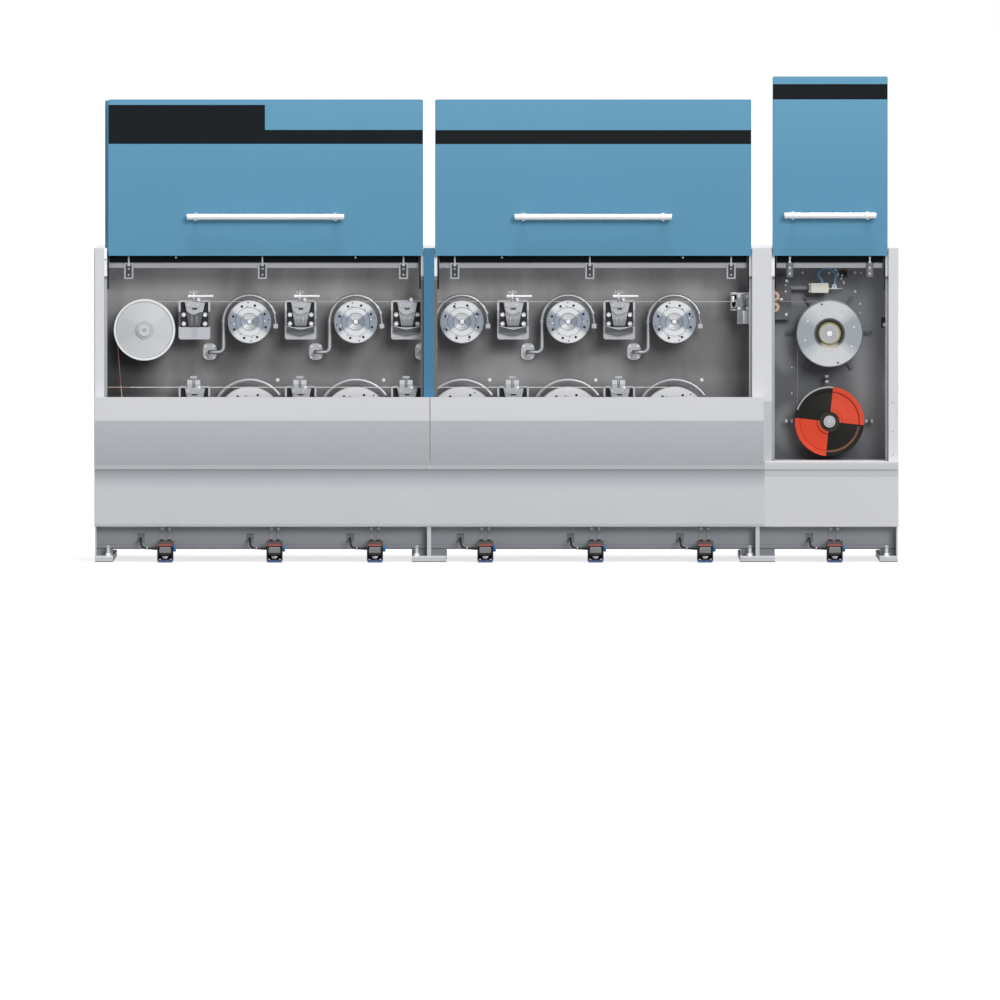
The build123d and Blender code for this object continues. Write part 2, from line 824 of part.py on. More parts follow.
# Upper spray pipes, round the capstan and back to the wall
with BuildPart() as upper_spray_pipe:
    with BuildLine(Plane.XZ.offset(-wire_mid_y)):
        arc = CenterArc((0, 0), upper_pipe_reach, upper_pipe_end, 180 - upper_pipe_end)
    with BuildLine():
        fall = FilletPolyline(
            (-upper_pipe_reach, wire_mid_y, 0),
            (-upper_pipe_reach, wire_mid_y, -upper_pipe_fall),
            (-upper_pipe_reach - pipe_offset, wire_mid_y, -upper_pipe_fall),
            (-upper_pipe_reach - pipe_offset, wall_front, -upper_pipe_fall),
            radius=pipe_bend,
        )
    with BuildSketch(Plane(arc @ 0, z_dir=arc % 0)):
        Circle(pipe_radius)
    sweep(path=arc)
    with BuildSketch(Plane(fall @ 0, z_dir=fall % 0)):
        Circle(pipe_radius)
    sweep(path=fall)
    # A thin pipe drops from the arc to the square nozzle
    nozzle_top = Vector(upper_pipe_reach, wire_mid_y, nozzle_size / 2 - nozzle_drop)
    with BuildSketch(Plane(arc @ 0, z_dir=nozzle_top - (arc @ 0))):
        Circle(nozzle_pipe_radius)
    extrude(amount=(nozzle_top - (arc @ 0)).length + nozzle_size / 2)
    with Locations((upper_pipe_reach, wire_mid_y, -nozzle_drop)):
        Box(nozzle_size, nozzle_size, nozzle_size)
    # Ferrules clamp the arc's joints
    for turn in upper_ferrules:
        spot = CenterArc((0, 0), upper_pipe_reach, turn, 1)
        centre = Plane.XZ.offset(-wire_mid_y).from_local_coords(spot @ 0)
        along = Plane.XZ.offset(-wire_mid_y).from_local_coords(spot @ 0 + spot % 0) - centre
        with BuildSketch(Plane(centre - along * (ferrule_length / 2), z_dir=along)):
            Circle(ferrule_radius)
        extrude(amount=ferrule_length)
    with BuildSketch(Plane.XZ.offset(-wall_front)):
        with Locations((-upper_pipe_reach - pipe_offset, -upper_pipe_fall)):
            Rectangle(pipe_flange_width, pipe_flange_height)
        chamfer(vertices(), 22)
    extrude(amount=pipe_flange_sheet)
with BuildPart() as upper_spray_pipes:
    with Locations([(x, 0, upper_z) for x in stage_xs]):
        add(upper_spray_pipe.part)
save(upper_spray_pipes.part, "upper_spray_pipes")

# Lower spray pipes
with BuildPart() as lower_spray_pipe:
    with BuildLine(Plane.XZ.offset(-wire_mid_y)):
        low_arc = CenterArc((0, lower_pipe_rise), lower_pipe_reach, lower_pipe_end, 180 - lower_pipe_end)
    with BuildLine():
        low_fall = FilletPolyline(
            (-lower_pipe_reach, wire_mid_y, lower_pipe_rise),
            (-lower_pipe_reach, wire_mid_y, -lower_pipe_fall),
            (-lower_pipe_reach - pipe_offset, wire_mid_y, -lower_pipe_fall),
            (-lower_pipe_reach - pipe_offset, wall_front, -lower_pipe_fall),
            radius=pipe_bend,
        )
    with BuildSketch(Plane(low_arc @ 0, z_dir=low_arc % 0)):
        Circle(lower_pipe_radius)
    sweep(path=low_arc)
    with BuildSketch(Plane(low_fall @ 0, z_dir=low_fall % 0)):
        Circle(lower_pipe_radius)
    sweep(path=low_fall)
    with BuildSketch(Plane.XZ.offset(-wall_front)):
        with Locations((-lower_pipe_reach - pipe_offset, -lower_pipe_fall)):
            Rectangle(pipe_flange_width, pipe_flange_width)
        chamfer(vertices(), 22)
    extrude(amount=pipe_flange_sheet)
with BuildPart() as lower_spray_pipes:
    with Locations([(x, 0, lower_z) for x in stage_xs]):
        add(lower_spray_pipe.part)
save(lower_spray_pipes.part, "lower_spray_pipes")

# Die holder, a framed front plate on a box, with the clamped die block in its recess
die_box_height = 140
jaw_depth = 34
clamp_depth = 42
clamp_width = 80
clamp_height = 34
clamp_x = -10
clamp_stud_radius = 5
clamp_stud_x = -4
lever_radius = 8
lever_left = -38
lever_length = 152
lever_z = 34
lever_grip_radius = 12
lever_grip_length = 20
wing_width = 51
wing_depth = 14
wing_height = 14
wing_z = 58
pivot_radius = 10
pivot_x = 26
recess_face = die_plate_front + die_recess
lever_y = recess_face - jaw_depth + 12
with BuildPart() as die_holder:
    with BuildSketch(Plane.XZ.offset(-die_plate_front)):
        with Locations((0, die_plate_rise - die_plate_height / 2)):
            Rectangle(die_plate_width, die_plate_height)
        fillet(vertices().group_by(Axis.Z)[0], die_plate_corner)
    extrude(amount=-die_plate_sheet)
    with BuildSketch(Plane.XZ.offset(-die_plate_front)):
        with Locations((0, die_recess_top - die_insert_height / 2)):
            Rectangle(die_insert_width, die_insert_height)
    extrude(amount=-die_recess, mode=Mode.SUBTRACT)
    # The wedge below and the rounded jaw above hold the dies
    with BuildSketch(Plane.XZ.offset(-recess_face)):
        with BuildLine():
            Polyline(
                (-die_block_top / 2 + 6, -8),
                (-die_block_foot / 2, -die_block_height),
                (die_block_foot / 2, -die_block_height),
                (die_block_top / 2, -8),
                close=True,
            )
        make_face()
    extrude(amount=die_block_depth)
    with BuildSketch(Plane.XZ.offset(-recess_face)):
        with BuildLine():
            jaw_top = Line((-die_block_top / 2 + 4, 0), (die_block_top / 2 - 2, -6))
            jaw_right = Line(jaw_top @ 1, (die_block_top / 2 - 6, -30))
            jaw_left = Line(jaw_top @ 0, (-die_block_top / 2 + 14, -40))
            Spline(
                jaw_left @ 1,
                (-34, -66),
                (0, -77),
                (34, -64),
                jaw_right @ 1,
                tangents=[(0.3, -1), (0.2, 1)],
            )
        make_face()
    extrude(amount=jaw_depth)
    # The clamp body stands on the jaw
    with BuildSketch(Plane.XZ.offset(-recess_face)):
        with Locations((clamp_x, clamp_height / 2 - 34)):
            Rectangle(clamp_width, clamp_height)
    extrude(amount=clamp_depth)
    with BuildSketch(Plane.XZ.offset(-recess_face)):
        with Locations((pivot_x, 9)):
            Rectangle(2 * pivot_radius, 26)
    extrude(amount=jaw_depth - 6)
    with BuildSketch(Plane.XZ.offset(-recess_face)):
        with Locations((pivot_x, 11)):
            Circle(pivot_radius)
    extrude(amount=jaw_depth + 4)
    # Behind the plate a box reaches back to the wall
    with BuildSketch(Plane.XZ.offset(-die_plate_front - die_plate_sheet)):
        with Locations((0, -die_box_drop - die_box_height / 2)):
            Rectangle(die_box_width, die_box_height)
    extrude(amount=-(wall_front - die_plate_front - die_plate_sheet))
    for x in [-die_box_width / 2, die_box_width / 2 - die_cheek]:
        with BuildSketch(Plane.YZ.offset(x)):
            with Locations((wire_mid_y, -die_box_drop)):
                Rectangle((wire_count - 1) * wire_pitch + 3 * die_slot, 2 * die_box_drop)
            with Locations((wire_mid_y, 0)):
                with GridLocations(wire_pitch, 1, wire_count, 1):
                    Rectangle(die_slot, 2 * die_slot, mode=Mode.SUBTRACT)
        extrude(amount=die_cheek)
with BuildPart() as lever_die_holder:
    add(die_holder.part)
    with BuildSketch(Plane.XY.offset(-die_slot)):
        with Locations((clamp_stud_x, lever_y)):
            Circle(clamp_stud_radius)
    extrude(amount=die_slot + wing_z)
    with Locations((clamp_stud_x, lever_y, wing_z)):
        Box(wing_width, wing_depth, wing_height)
        Cylinder(wing_depth, wing_height + 6)
    fillet(lever_die_holder.edges().filter_by(Axis.Y).group_by(Axis.Z)[-1], 5)
    with BuildSketch(Plane.YZ.offset(lever_left)):
        with Locations((lever_y, lever_z)):
            Circle(lever_grip_radius)
    extrude(amount=lever_grip_length)
    with BuildSketch(Plane.YZ.offset(lever_left)):
        with Locations((lever_y, lever_z)):
            Circle(lever_radius)
    extrude(amount=lever_length)
# The lower holders are closed by a slotted block with a wing screw
block_width = 78
block_top = 46
block_foot = -38
block_notch = 16
block_notch_foot = -14
low_wing_width = 43
low_wing_z = 62
with BuildPart() as block_die_holder:
    add(die_holder.part)
    with BuildSketch(Plane.XZ.offset(-recess_face)):
        with Locations((clamp_stud_x, (block_top + block_foot) / 2)):
            Rectangle(block_width, block_top - block_foot)
        with Locations((clamp_stud_x, (block_top + block_notch_foot) / 2)):
            Rectangle(block_notch, block_top - block_notch_foot, mode=Mode.SUBTRACT)
    extrude(amount=clamp_depth)
    with BuildSketch(Plane.XY.offset(block_notch_foot)):
        with Locations((clamp_stud_x, lever_y)):
            Circle(clamp_stud_radius)
    extrude(amount=low_wing_z - block_notch_foot)
    with Locations((clamp_stud_x, lever_y, low_wing_z)):
        Box(low_wing_width, wing_depth, wing_height)
    fillet(block_die_holder.edges().filter_by(Axis.Y).group_by(Axis.Z)[-1], 5)
# The later stages have a folded drip tray below the recess
with BuildPart() as drip_tray:
    with BuildSketch(Plane.XZ.offset(-die_plate_front)):
        with BuildLine():
            Polyline(
                (-drip_half_width, -drip_top),
                (-drip_half_width, -drip_top - drip_height),
                (0, -drip_top - drip_dip - drip_height),
                (drip_half_width, -drip_top - drip_height),
                (drip_half_width, -drip_top),
                (0, -drip_top - drip_dip),
                close=True,
            )
        make_face()
    extrude(amount=drip_depth)
die_xs = [x + die_offset for x in stage_xs]
lever_stages = [0, 1, 3, 4]
with BuildPart() as upper_die_holders:
    for i, x in enumerate(die_xs):
        with Locations((x, 0, upper_wire_z)):
            add(lever_die_holder.part if i in lever_stages else die_holder.part)
            if i > 0:
                add(drip_tray.part)
save(upper_die_holders.part, "upper_die_holders")
with BuildPart() as lower_die_holders:
    with Locations([(x, 0, lower_wire_z) for x in die_xs]):
        add(block_die_holder.part)
    with Locations([(x, 0, lower_wire_z) for x in die_xs[1:]]):
        add(drip_tray.part)
save(lower_die_holders.part, "lower_die_holders")

# Return roller low in the first bay, fixed to the wall
return_roller_x = inlet_x - inlet_groove_radius + 118
with BuildPart() as return_roller:
    with BuildSketch(Plane(origin=(return_roller_x, 0, return_roller_z))):
        with BuildLine():
            Polyline(
                (0, inlet_front),
                (return_roller_radius + 12, inlet_front),
                (return_roller_radius + 12, inlet_front + 8),
                (return_roller_radius, inlet_front + 8),
                (return_roller_radius, inlet_back - 8),
                (return_roller_radius + 12, inlet_back - 8),
                (return_roller_radius + 12, inlet_back),
                (24, inlet_back),
                (24, wall_front),
                (0, wall_front),
                close=True,
            )
        make_face()
    revolve(axis=Axis((return_roller_x, 0, return_roller_z), (0, 1, 0)))
save(return_roller.part, "return_roller")

# Exit guide on the left side of the partition
guide_width = 108
guide_depth = 130
guide_height = 110
guide_base_width = 69
guide_base_height = 90
guide_end = partition_x - partition_sheet / 2
guide_slot = 16
with BuildPart() as exit_guide:
    with BuildSketch(Plane.YZ.offset(guide_end - guide_width)):
        with Locations((wire_mid_y, upper_wire_z)):
            Rectangle(guide_depth, guide_height)
            Rectangle(guide_depth - guide_slot, guide_slot, mode=Mode.SUBTRACT)
    extrude(amount=guide_width)
    with BuildSketch(Plane.YZ.offset(guide_end - guide_base_width)):
        with Locations((wire_mid_y, upper_wire_z - (guide_height + guide_base_height) / 2)):
            Rectangle(guide_depth, guide_base_height)
    extrude(amount=guide_base_width)
save(exit_guide.part, "exit_guide")

# Bracket that carries the two entry rollers
roller_offset = roller_radius + roller_gap / 2
upper_roller_z = upper_wire_z + roller_offset
lower_roller_z = upper_wire_z - roller_offset
roller_front = wire_mid_y - roller_width / 2
roller_back = wire_mid_y + roller_width / 2
roller_plate_width = 154
roller_plate_height = 261
roller_plate_z = upper_wire_z + 20
roller_plate_sheet = 10
roller_plate_front = wire_mid_y + roller_width / 2 + 6
with BuildPart() as roller_bracket:
    with BuildSketch(Plane.XZ.offset(-roller_plate_front)):
        with Locations((partition_x + partition_sheet / 2 + 20 + roller_plate_width / 2, roller_plate_z)):
            Rectangle(roller_plate_width, roller_plate_height)
    extrude(amount=-roller_plate_sheet)
    with BuildSketch(Plane.XZ.offset(-(roller_plate_front + roller_plate_sheet))):
        with Locations((partition_x + partition_sheet / 2 + 20 + roller_plate_width / 2, roller_plate_z)):
            with GridLocations(1, 180, 1, 2):
                Circle(16)
    extrude(amount=-(wall_front - roller_plate_front - roller_plate_sheet))
    with BuildSketch(Plane.XZ.offset(-(roller_front - 8))):
        with Locations((roller_x, upper_roller_z), (roller_x, lower_roller_z)):
            Circle(roller_pin_radius)
    extrude(amount=-(roller_plate_front - roller_front + 8))
    with BuildSketch(Plane.XZ.offset(-(roller_front - 8))):
        with Locations((roller_x, upper_roller_z), (roller_x, lower_roller_z)):
            Circle(roller_pin_radius + 5)
    extrude(amount=7)
save(roller_bracket.part, "roller_bracket")
with BuildPart() as guide_roller:
    with BuildSketch(Plane.XZ.offset(-roller_front)):
        Circle(roller_radius)
        Circle(roller_pin_radius + shaft_clearance, mode=Mode.SUBTRACT)
    extrude(amount=-roller_width)
    chamfer(guide_roller.edges().filter_by(GeomType.CIRCLE).group_by(SortBy.RADIUS)[-1], 2)
save(Location((roller_x, 0, upper_roller_z)) * guide_roller.part, "upper_guide_roller")
save(Location((roller_x, 0, lower_roller_z)) * guide_roller.part, "lower_guide_roller")

# Tension sensor, a white box on a rod from the roller bracket
sensor_box_width = 105
sensor_box_height = 58
sensor_box_depth = 58
sensor_lead = 57
sensor_x = finish_x - sensor_lead
sensor_z = upper_wire_z + 81
sensor_front = -262
sensor_rod_radius = 13
sensor_rod_end = partition_x + partition_sheet / 2 + 20 + roller_plate_width
with BuildPart() as tension_sensor:
    with Locations((sensor_x, sensor_front + sensor_box_depth / 2, sensor_z)):
        Box(sensor_box_width, sensor_box_depth, sensor_box_height)
    fillet(tension_sensor.edges().filter_by(Axis.Y), 6)
    with BuildSketch(Plane.YZ.offset(sensor_rod_end)):
        with Locations((roller_plate_front + roller_plate_sheet / 2, sensor_z)):
            Circle(sensor_rod_radius)
    extrude(amount=sensor_x - sensor_rod_end)
    with BuildSketch(Plane.XZ.offset(-(sensor_front + sensor_box_depth))):
        with Locations((sensor_x, sensor_z)):
            Rectangle(40, 30)
    extrude(amount=-(wall_front - sensor_front - sensor_box_depth))
save(tension_sensor.part, "tension_sensor")

# Small wall sensors, stand-off bolts and the spider behind the finishing capstan
standoff_radius = 6
standoff_length = 84
standoff_side = 14
standoff_rise = 254
standoff_reach = 241
standoff_bolt_radius = 9
standoff_bolt_length = 46
standoff_head = 12
standoff_head_height = 10
terminal_offset = 88
terminal_z = upper_wire_z + 163
terminal_size = 40
terminal_depth = 46
eye_reach = 62
eye_width = 32
eye_depth = 40
eye_height = 60
eye_arm = 24
eye_z = finish_z + 65
with BuildPart() as standoff_bolt:
    with BuildSketch(Plane.YZ.offset(-standoff_bolt_length / 2)):
        Circle(standoff_bolt_radius)
    extrude(amount=standoff_bolt_length)
    for head_x in [-standoff_bolt_length / 2, standoff_bolt_length / 2 - standoff_head_height]:
        with BuildSketch(Plane.YZ.offset(head_x)):
            RegularPolygon(standoff_head, 6)
        extrude(amount=standoff_head_height)
with BuildPart() as wall_fittings:
    for x, z, turn in [
        (finish_x - standoff_side, return_z + standoff_rise, 90),
        (finish_x - standoff_reach, return_z, 0),
        (finish_x + standoff_reach, return_z, 0),
    ]:
        with BuildSketch(Plane.XZ.offset(-wall_front)):
            with Locations((x, z)):
                Circle(standoff_radius)
        extrude(amount=standoff_length)
        with Locations(Location((x, wall_front - standoff_length, z), (0, turn, 0))):
            add(standoff_bolt.part)
    with BuildSketch(Plane.XZ.offset(-wall_front)):
        with Locations((finish_x + terminal_offset, terminal_z)):
            RectangleRounded(terminal_size, terminal_size, terminal_size / 8)
    extrude(amount=terminal_depth)
    with BuildSketch(Plane.XZ.offset(-wall_front)):
        with Locations((finish_x, finish_z)):
            for angle in spider_angles:
                with Locations(Location((0, 0, 0), (0, 0, angle))):
                    with Locations((spider_reach / 2, 0)):
                        Rectangle(spider_reach, spider_width)
            Circle(bearing_radius, mode=Mode.SUBTRACT)
    extrude(amount=spider_depth)
    with Locations((inner_half - eye_reach - eye_width / 2, wire_mid_y, eye_z)):
        Box(eye_width, eye_depth, eye_height)
    with BuildSketch(Plane.YZ.offset(inner_half - eye_reach)):
        with Locations((wire_mid_y, eye_z)):
            Rectangle(eye_arm, eye_arm)
    extrude(amount=eye_reach)
save(wall_fittings.part, "wall_fittings")

# Hose loop and lead of the tension sensor
hose_radius = 6
sensor_lead_radius = 4
hose_y = sensor_front + 20
hose_start_x = sensor_x + 14
hose_end_x = sensor_x + 90
hose_loop_x = sensor_x + 47
hose_loop_z = sensor_z + 73
hose_loop_half_width = 57
hose_loop_half_height = 48
box_top = sensor_z + sensor_box_height / 2
lead_z = sensor_z - 4
with BuildPart() as sensor_leads:
    with BuildLine():
        hose_path = Spline(
            (hose_start_x, hose_y, box_top),
            (hose_loop_x - hose_loop_half_width, hose_y, hose_loop_z),
            (hose_loop_x, hose_y, hose_loop_z + hose_loop_half_height),
            (hose_loop_x + hose_loop_half_width, hose_y, hose_loop_z),
            (hose_end_x, hose_y, lead_z),
            tangents=[(0, 0, 1), (0, 0, -1)],
        )
    with BuildSketch(Plane(hose_path @ 0, z_dir=hose_path % 0)):
        Circle(hose_radius)
    sweep(path=hose_path)
    with BuildLine():
        lead_path = FilletPolyline(
            (sensor_x + sensor_box_width / 2, hose_y, lead_z),
            (sensor_x + sensor_box_width / 2 + 82, hose_y, lead_z),
            (sensor_x + sensor_box_width / 2 + 82, wall_front, lead_z),
            radius=36,
        )
    with BuildSketch(Plane(lead_path @ 0, z_dir=lead_path % 0)):
        Circle(sensor_lead_radius)
    sweep(path=lead_path)
save(sensor_leads.part, "sensor_leads")

# Front trays, sloped sheet troughs over the lower stages
with BuildPart() as front_trays:
    for start, end in [
        (-inner_half, tray_seam_x - tray_seam_gap / 2),
        (tray_seam_x + tray_seam_gap / 2, tray_end_x),
    ]:
        with BuildSketch(Plane.YZ.offset(start)):
            with BuildLine():
                Polyline(
                    (face_y - 5, tray_rim_z),
                    (tray_front, tray_rim_z),
                    (tray_front, tray_band_z),
                    (skirt_front - tray_sheet - 1, tray_foot_z),
                    (skirt_front - tray_sheet - 1, tray_lip_z),
                    (skirt_front, tray_lip_z),
                    (skirt_front, tray_foot_z),
                    (tray_front + tray_sheet, tray_band_z),
                    (tray_front + tray_sheet, tray_rim_z - tray_sheet),
                    (face_y - 5, tray_rim_z - tray_sheet),
                    close=True,
                )
            make_face()
        extrude(amount=end - start)
    for x in [-inner_half, tray_end_x - tray_sheet]:
        with BuildSketch(Plane.YZ.offset(x)):
            with BuildLine():
                Polyline(
                    (face_y, tray_rim_z),
                    (tray_front, tray_rim_z),
                    (tray_front, tray_band_z),
                    (skirt_front - tray_sheet - 1, tray_foot_z),
                    (skirt_front, tray_foot_z),
                    (skirt_front, chamber_floor),
                    (face_y, chamber_floor),
                    close=True,
                )
            make_face()
        extrude(amount=tray_sheet)
save(front_trays.part, "front_trays")

# Drawing wires, four abreast on each level
low_run_end = stage_xs[-1]
roller_wire_x = return_roller_x
finish_line = finish_groove_radius + wire_line
inlet_line = inlet_groove_radius + wire_line
with BuildPart() as drawing_wires:
    for y in wire_ys:
        wire_plane = Plane.XZ.offset(-y)
        with BuildLine(wire_plane) as upper_run:
            over = CenterArc((inlet_x, inlet_z), inlet_line, 90, 90 + inlet_wire_lean)
            Line(over @ 1, over @ 1 + (over % 1) * 560)
            Line((finish_x, upper_wire_z), over @ 0)
        with BuildSketch(Plane((finish_x, y, upper_wire_z), z_dir=(1, 0, 0))):
            Circle(wire_radius)
        sweep(path=upper_run.wires()[0])
        with BuildSketch(Plane.YZ.offset(-half_length)):
            with Locations((y, lower_wire_z)):
                Circle(wire_radius)
        extrude(amount=low_run_end + half_length)
    with BuildLine(Plane.XZ.offset(-wire_ys[0])) as loop_run:
        turn = CenterArc((finish_x, finish_z), finish_line, 90, -90)
        down = Line(turn @ 1, (finish_x + finish_line, return_z))
        under = CenterArc((finish_x, return_z), finish_line, 0, -180)
        Line(under @ 1, (finish_x - finish_line, finish_z))
    with BuildSketch(Plane((finish_x, wire_ys[0], upper_wire_z), z_dir=(1, 0, 0))):
        Circle(wire_radius)
    sweep(path=loop_run.wires()[0])
    with BuildLine(Plane.XZ.offset(-wire_ys[2])) as exit_run:
        rise = CenterArc((finish_x, finish_z), finish_line, 180, exit_angle - 180)
        leave = (exit_x - exit_start_x) / 0.5779 + 6
        Line(rise @ 1, rise @ 1 + (rise % 1) * leave)
    with BuildSketch(Plane((finish_x - finish_line, wire_ys[2], finish_z), z_dir=(0, 0, 1))):
        Circle(wire_radius)
    sweep(path=exit_run.wires()[0])
save(drawing_wires.part, "drawing_wires")

# Foot switch guards on brackets at the kick panel
cavity_front = 22
bracket_top = 210
bracket_foot = 128
switch_back = switch_front + switch_length
treadle_pivot_y = switch_front + treadle_length + 14
treadle_pivot_z = switch_base + 34
gland_z = switch_base + 74
gland_y = switch_front + 92
cap_radius = 19
cap_length = 14
with BuildPart() as switch_guard:
    with BuildSketch(Plane.YZ.offset(-switch_width / 2)):
        with BuildLine():
            Polyline(
                (switch_front + cavity_front, switch_base),
                (switch_front + cavity_front, switch_height - 30),
                (switch_front + cavity_front + 26, switch_height),
                (switch_back, switch_height),
                (switch_back, switch_base),
                close=True,
            )
        make_face()
    extrude(amount=switch_width)
    with BuildSketch(Plane.YZ.offset(-switch_width / 2 + switch_wall)):
        with BuildLine():
            Polyline(
                (switch_front, switch_base + switch_wall),
                (switch_front, switch_height - switch_wall),
                (switch_back - switch_wall, switch_height - switch_wall),
                (switch_back - switch_wall, switch_base + switch_wall),
                close=True,
            )
        make_face()
    extrude(amount=switch_width - 2 * switch_wall, mode=Mode.SUBTRACT)
    with Locations((0, (switch_front + switch_back) / 2, switch_base / 2 + 1)):
        Box(switch_width - 10, switch_length, switch_base - 2)
    with BuildSketch(Plane.XY.offset(switch_height)):
        for x in [-bracket_width, bracket_width]:
            with Locations((x, (switch_back - 40 + kick_front) / 2)):
                Rectangle(bracket_width, kick_front - switch_back + 40)
    extrude(amount=bracket_sheet)
    with BuildSketch(Plane.XZ.offset(-kick_front)):
        for x in [-bracket_width, bracket_width]:
            with Locations((x, (switch_height + bracket_top) / 2)):
                Rectangle(bracket_width, bracket_top - switch_height)
    extrude(amount=bracket_sheet)
    with BuildSketch(Plane.YZ.offset(-switch_width / 2)):
        with Locations((treadle_pivot_y, treadle_pivot_z)):
            Circle(treadle_pin_radius)
    extrude(amount=switch_width)
    # The lead's gland on the left cheek and the round cap on the right
    with BuildSketch(Plane.YZ.offset(-switch_width / 2 - gland_length)):
        with Locations((gland_y, gland_z)):
            Circle(gland_radius - 2)
    extrude(amount=gland_length)
    with BuildSketch(Plane.YZ.offset(-switch_width / 2 - gland_length / 2)):
        with Locations((gland_y, gland_z)):
            RegularPolygon(gland_radius, 6)
    extrude(amount=gland_length / 2)
    with BuildSketch(Plane.YZ.offset(switch_width / 2)):
        with Locations((gland_y, gland_z)):
            Circle(cap_radius)
    extrude(amount=cap_length)
with BuildPart() as foot_switch_guards:
    with Locations([(x, 0, 0) for x in switch_xs]):
        add(switch_guard.part)
save(foot_switch_guards.part, "foot_switch_guards")

# Treadles on their pins inside the guards
treadle_width = switch_width - 2 * switch_wall - 2 * treadle_gap
with BuildPart() as treadle:
    with BuildSketch(Plane.YZ.offset(-treadle_width / 2)):
        with BuildLine():
            Polyline(
                (switch_front + 6, treadle_pivot_z + 2),
                (switch_front + 6, treadle_pivot_z + treadle_height - 4),
                (switch_front + 12, treadle_pivot_z + treadle_height),
                (treadle_pivot_y, treadle_pivot_z + 12),
                (treadle_pivot_y + 12, treadle_pivot_z),
                (treadle_pivot_y, treadle_pivot_z - 12),
                (switch_front + 40, treadle_pivot_z + 2),
                close=True,
            )
        make_face()
    extrude(amount=treadle_width)
    with BuildSketch(Plane.YZ.offset(-treadle_width / 2)):
        with Locations((treadle_pivot_y, treadle_pivot_z)):
            Circle(treadle_pin_radius + shaft_clearance)
    extrude(amount=treadle_width, mode=Mode.SUBTRACT)
for number, x in enumerate(switch_xs, 1):
    save(Location((x, 0, 0)) * treadle.part, f"treadle_{number}")

# Foot switch leads from the kick panel recess to each gland
lead_start_y = kick_front + kick_sheet
lead_path_offsets = [
    (lead_hole_offset, 0, lead_hole_z),
    (lead_hole_offset, -104, lead_hole_z),
    (lead_hole_offset + 8, gland_y - lead_start_y, gland_z),
    (-switch_width / 2 - gland_length, gland_y - lead_start_y, gland_z),
]
lead_bends = [58, 40]
with BuildPart() as foot_switch_leads:
    for x in switch_xs:
        with BuildLine() as lead:
            FilletPolyline(
                *[(x + dx, lead_start_y + dy, z) for dx, dy, z in lead_path_offsets],
                radius=lead_bends,
            )
        with BuildSketch(Plane(lead.wires()[0] @ 0, z_dir=lead.wires()[0] % 0)):
            Circle(lead_radius)
        sweep(path=lead.wires()[0])
print("lead bends", lead_bends, "length of one lead", round(lead.wires()[0].length, 1))
save(foot_switch_leads.part, "foot_switch_leads")
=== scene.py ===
import math

import bmesh
import bpy
from mathutils import Matrix, Vector


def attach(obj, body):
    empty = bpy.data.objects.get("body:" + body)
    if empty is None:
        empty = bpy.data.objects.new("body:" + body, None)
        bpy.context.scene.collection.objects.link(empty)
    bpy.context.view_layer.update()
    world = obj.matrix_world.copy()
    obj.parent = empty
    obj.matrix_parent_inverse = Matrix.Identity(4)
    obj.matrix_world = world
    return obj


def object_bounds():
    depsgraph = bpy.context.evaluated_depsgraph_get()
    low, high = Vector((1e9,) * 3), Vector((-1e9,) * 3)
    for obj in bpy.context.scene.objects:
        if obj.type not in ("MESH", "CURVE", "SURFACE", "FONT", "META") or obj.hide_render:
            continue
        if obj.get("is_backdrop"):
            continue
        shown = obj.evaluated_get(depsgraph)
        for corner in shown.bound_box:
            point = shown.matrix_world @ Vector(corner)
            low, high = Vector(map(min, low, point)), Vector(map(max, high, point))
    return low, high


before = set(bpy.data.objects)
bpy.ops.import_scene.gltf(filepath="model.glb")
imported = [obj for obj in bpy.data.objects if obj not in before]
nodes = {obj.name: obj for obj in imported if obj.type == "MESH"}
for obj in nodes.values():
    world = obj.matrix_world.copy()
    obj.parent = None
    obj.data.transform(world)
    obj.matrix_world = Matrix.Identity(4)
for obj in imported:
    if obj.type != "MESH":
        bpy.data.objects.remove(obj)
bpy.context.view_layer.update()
print("frame loaded:", len(nodes), "nodes")


# places taken from the frame, so that every piece follows the solids
def boxOf(name):
    corners = [nodes[name].matrix_world @ Vector(corner) for corner in nodes[name].bound_box]
    low = Vector([min(corner[axis] for corner in corners) for axis in range(3)])
    high = Vector([max(corner[axis] for corner in corners) for axis in range(3)])
    return low, high


def middleOf(name):
    low, high = boxOf(name)
    return (low + high) / 2


stageNumbers = range(1, 6)
switchNumbers = range(1, 8)
upperCentres = [middleOf(f"upper_capstan_{number}") for number in stageNumbers]
lowerCentres = [middleOf(f"lower_capstan_{number}") for number in stageNumbers]
inletCentre = middleOf("inlet_pulley")
finishCentre = middleOf("finishing_capstan")
returnCentre = middleOf("return_pulley")
switchXs = [middleOf(f"treadle_{number}").x for number in switchNumbers]
wallFront = -0.140
upperWire = 1.559
lowerWire = 1.043


# camera, lamps and world
cameraSettings = {
    "aim": (0.022, -0.57, 0.372),
    "height": 3.576,
    "distance": 120.0,
    "fieldWidth": 6.0,
    "sensor": 36.0,
}

cameraData = bpy.data.cameras.new("photoCamera")
camera = bpy.data.objects.new("photoCamera", cameraData)
bpy.context.collection.objects.link(camera)
aim = Vector(cameraSettings["aim"])
camera.location = (aim.x, aim.y - cameraSettings["distance"], cameraSettings["height"])
cameraData.sensor_width = cameraSettings["sensor"]
cameraData.lens = cameraSettings["sensor"] * cameraSettings["distance"] / cameraSettings["fieldWidth"]
cameraData.clip_end = 1000
camera.rotation_mode = "QUATERNION"
camera.rotation_quaternion = (aim - camera.location).to_track_quat("-Z", "Y")
bpy.context.scene.camera = camera
bpy.context.scene.view_settings.view_transform = "Standard"

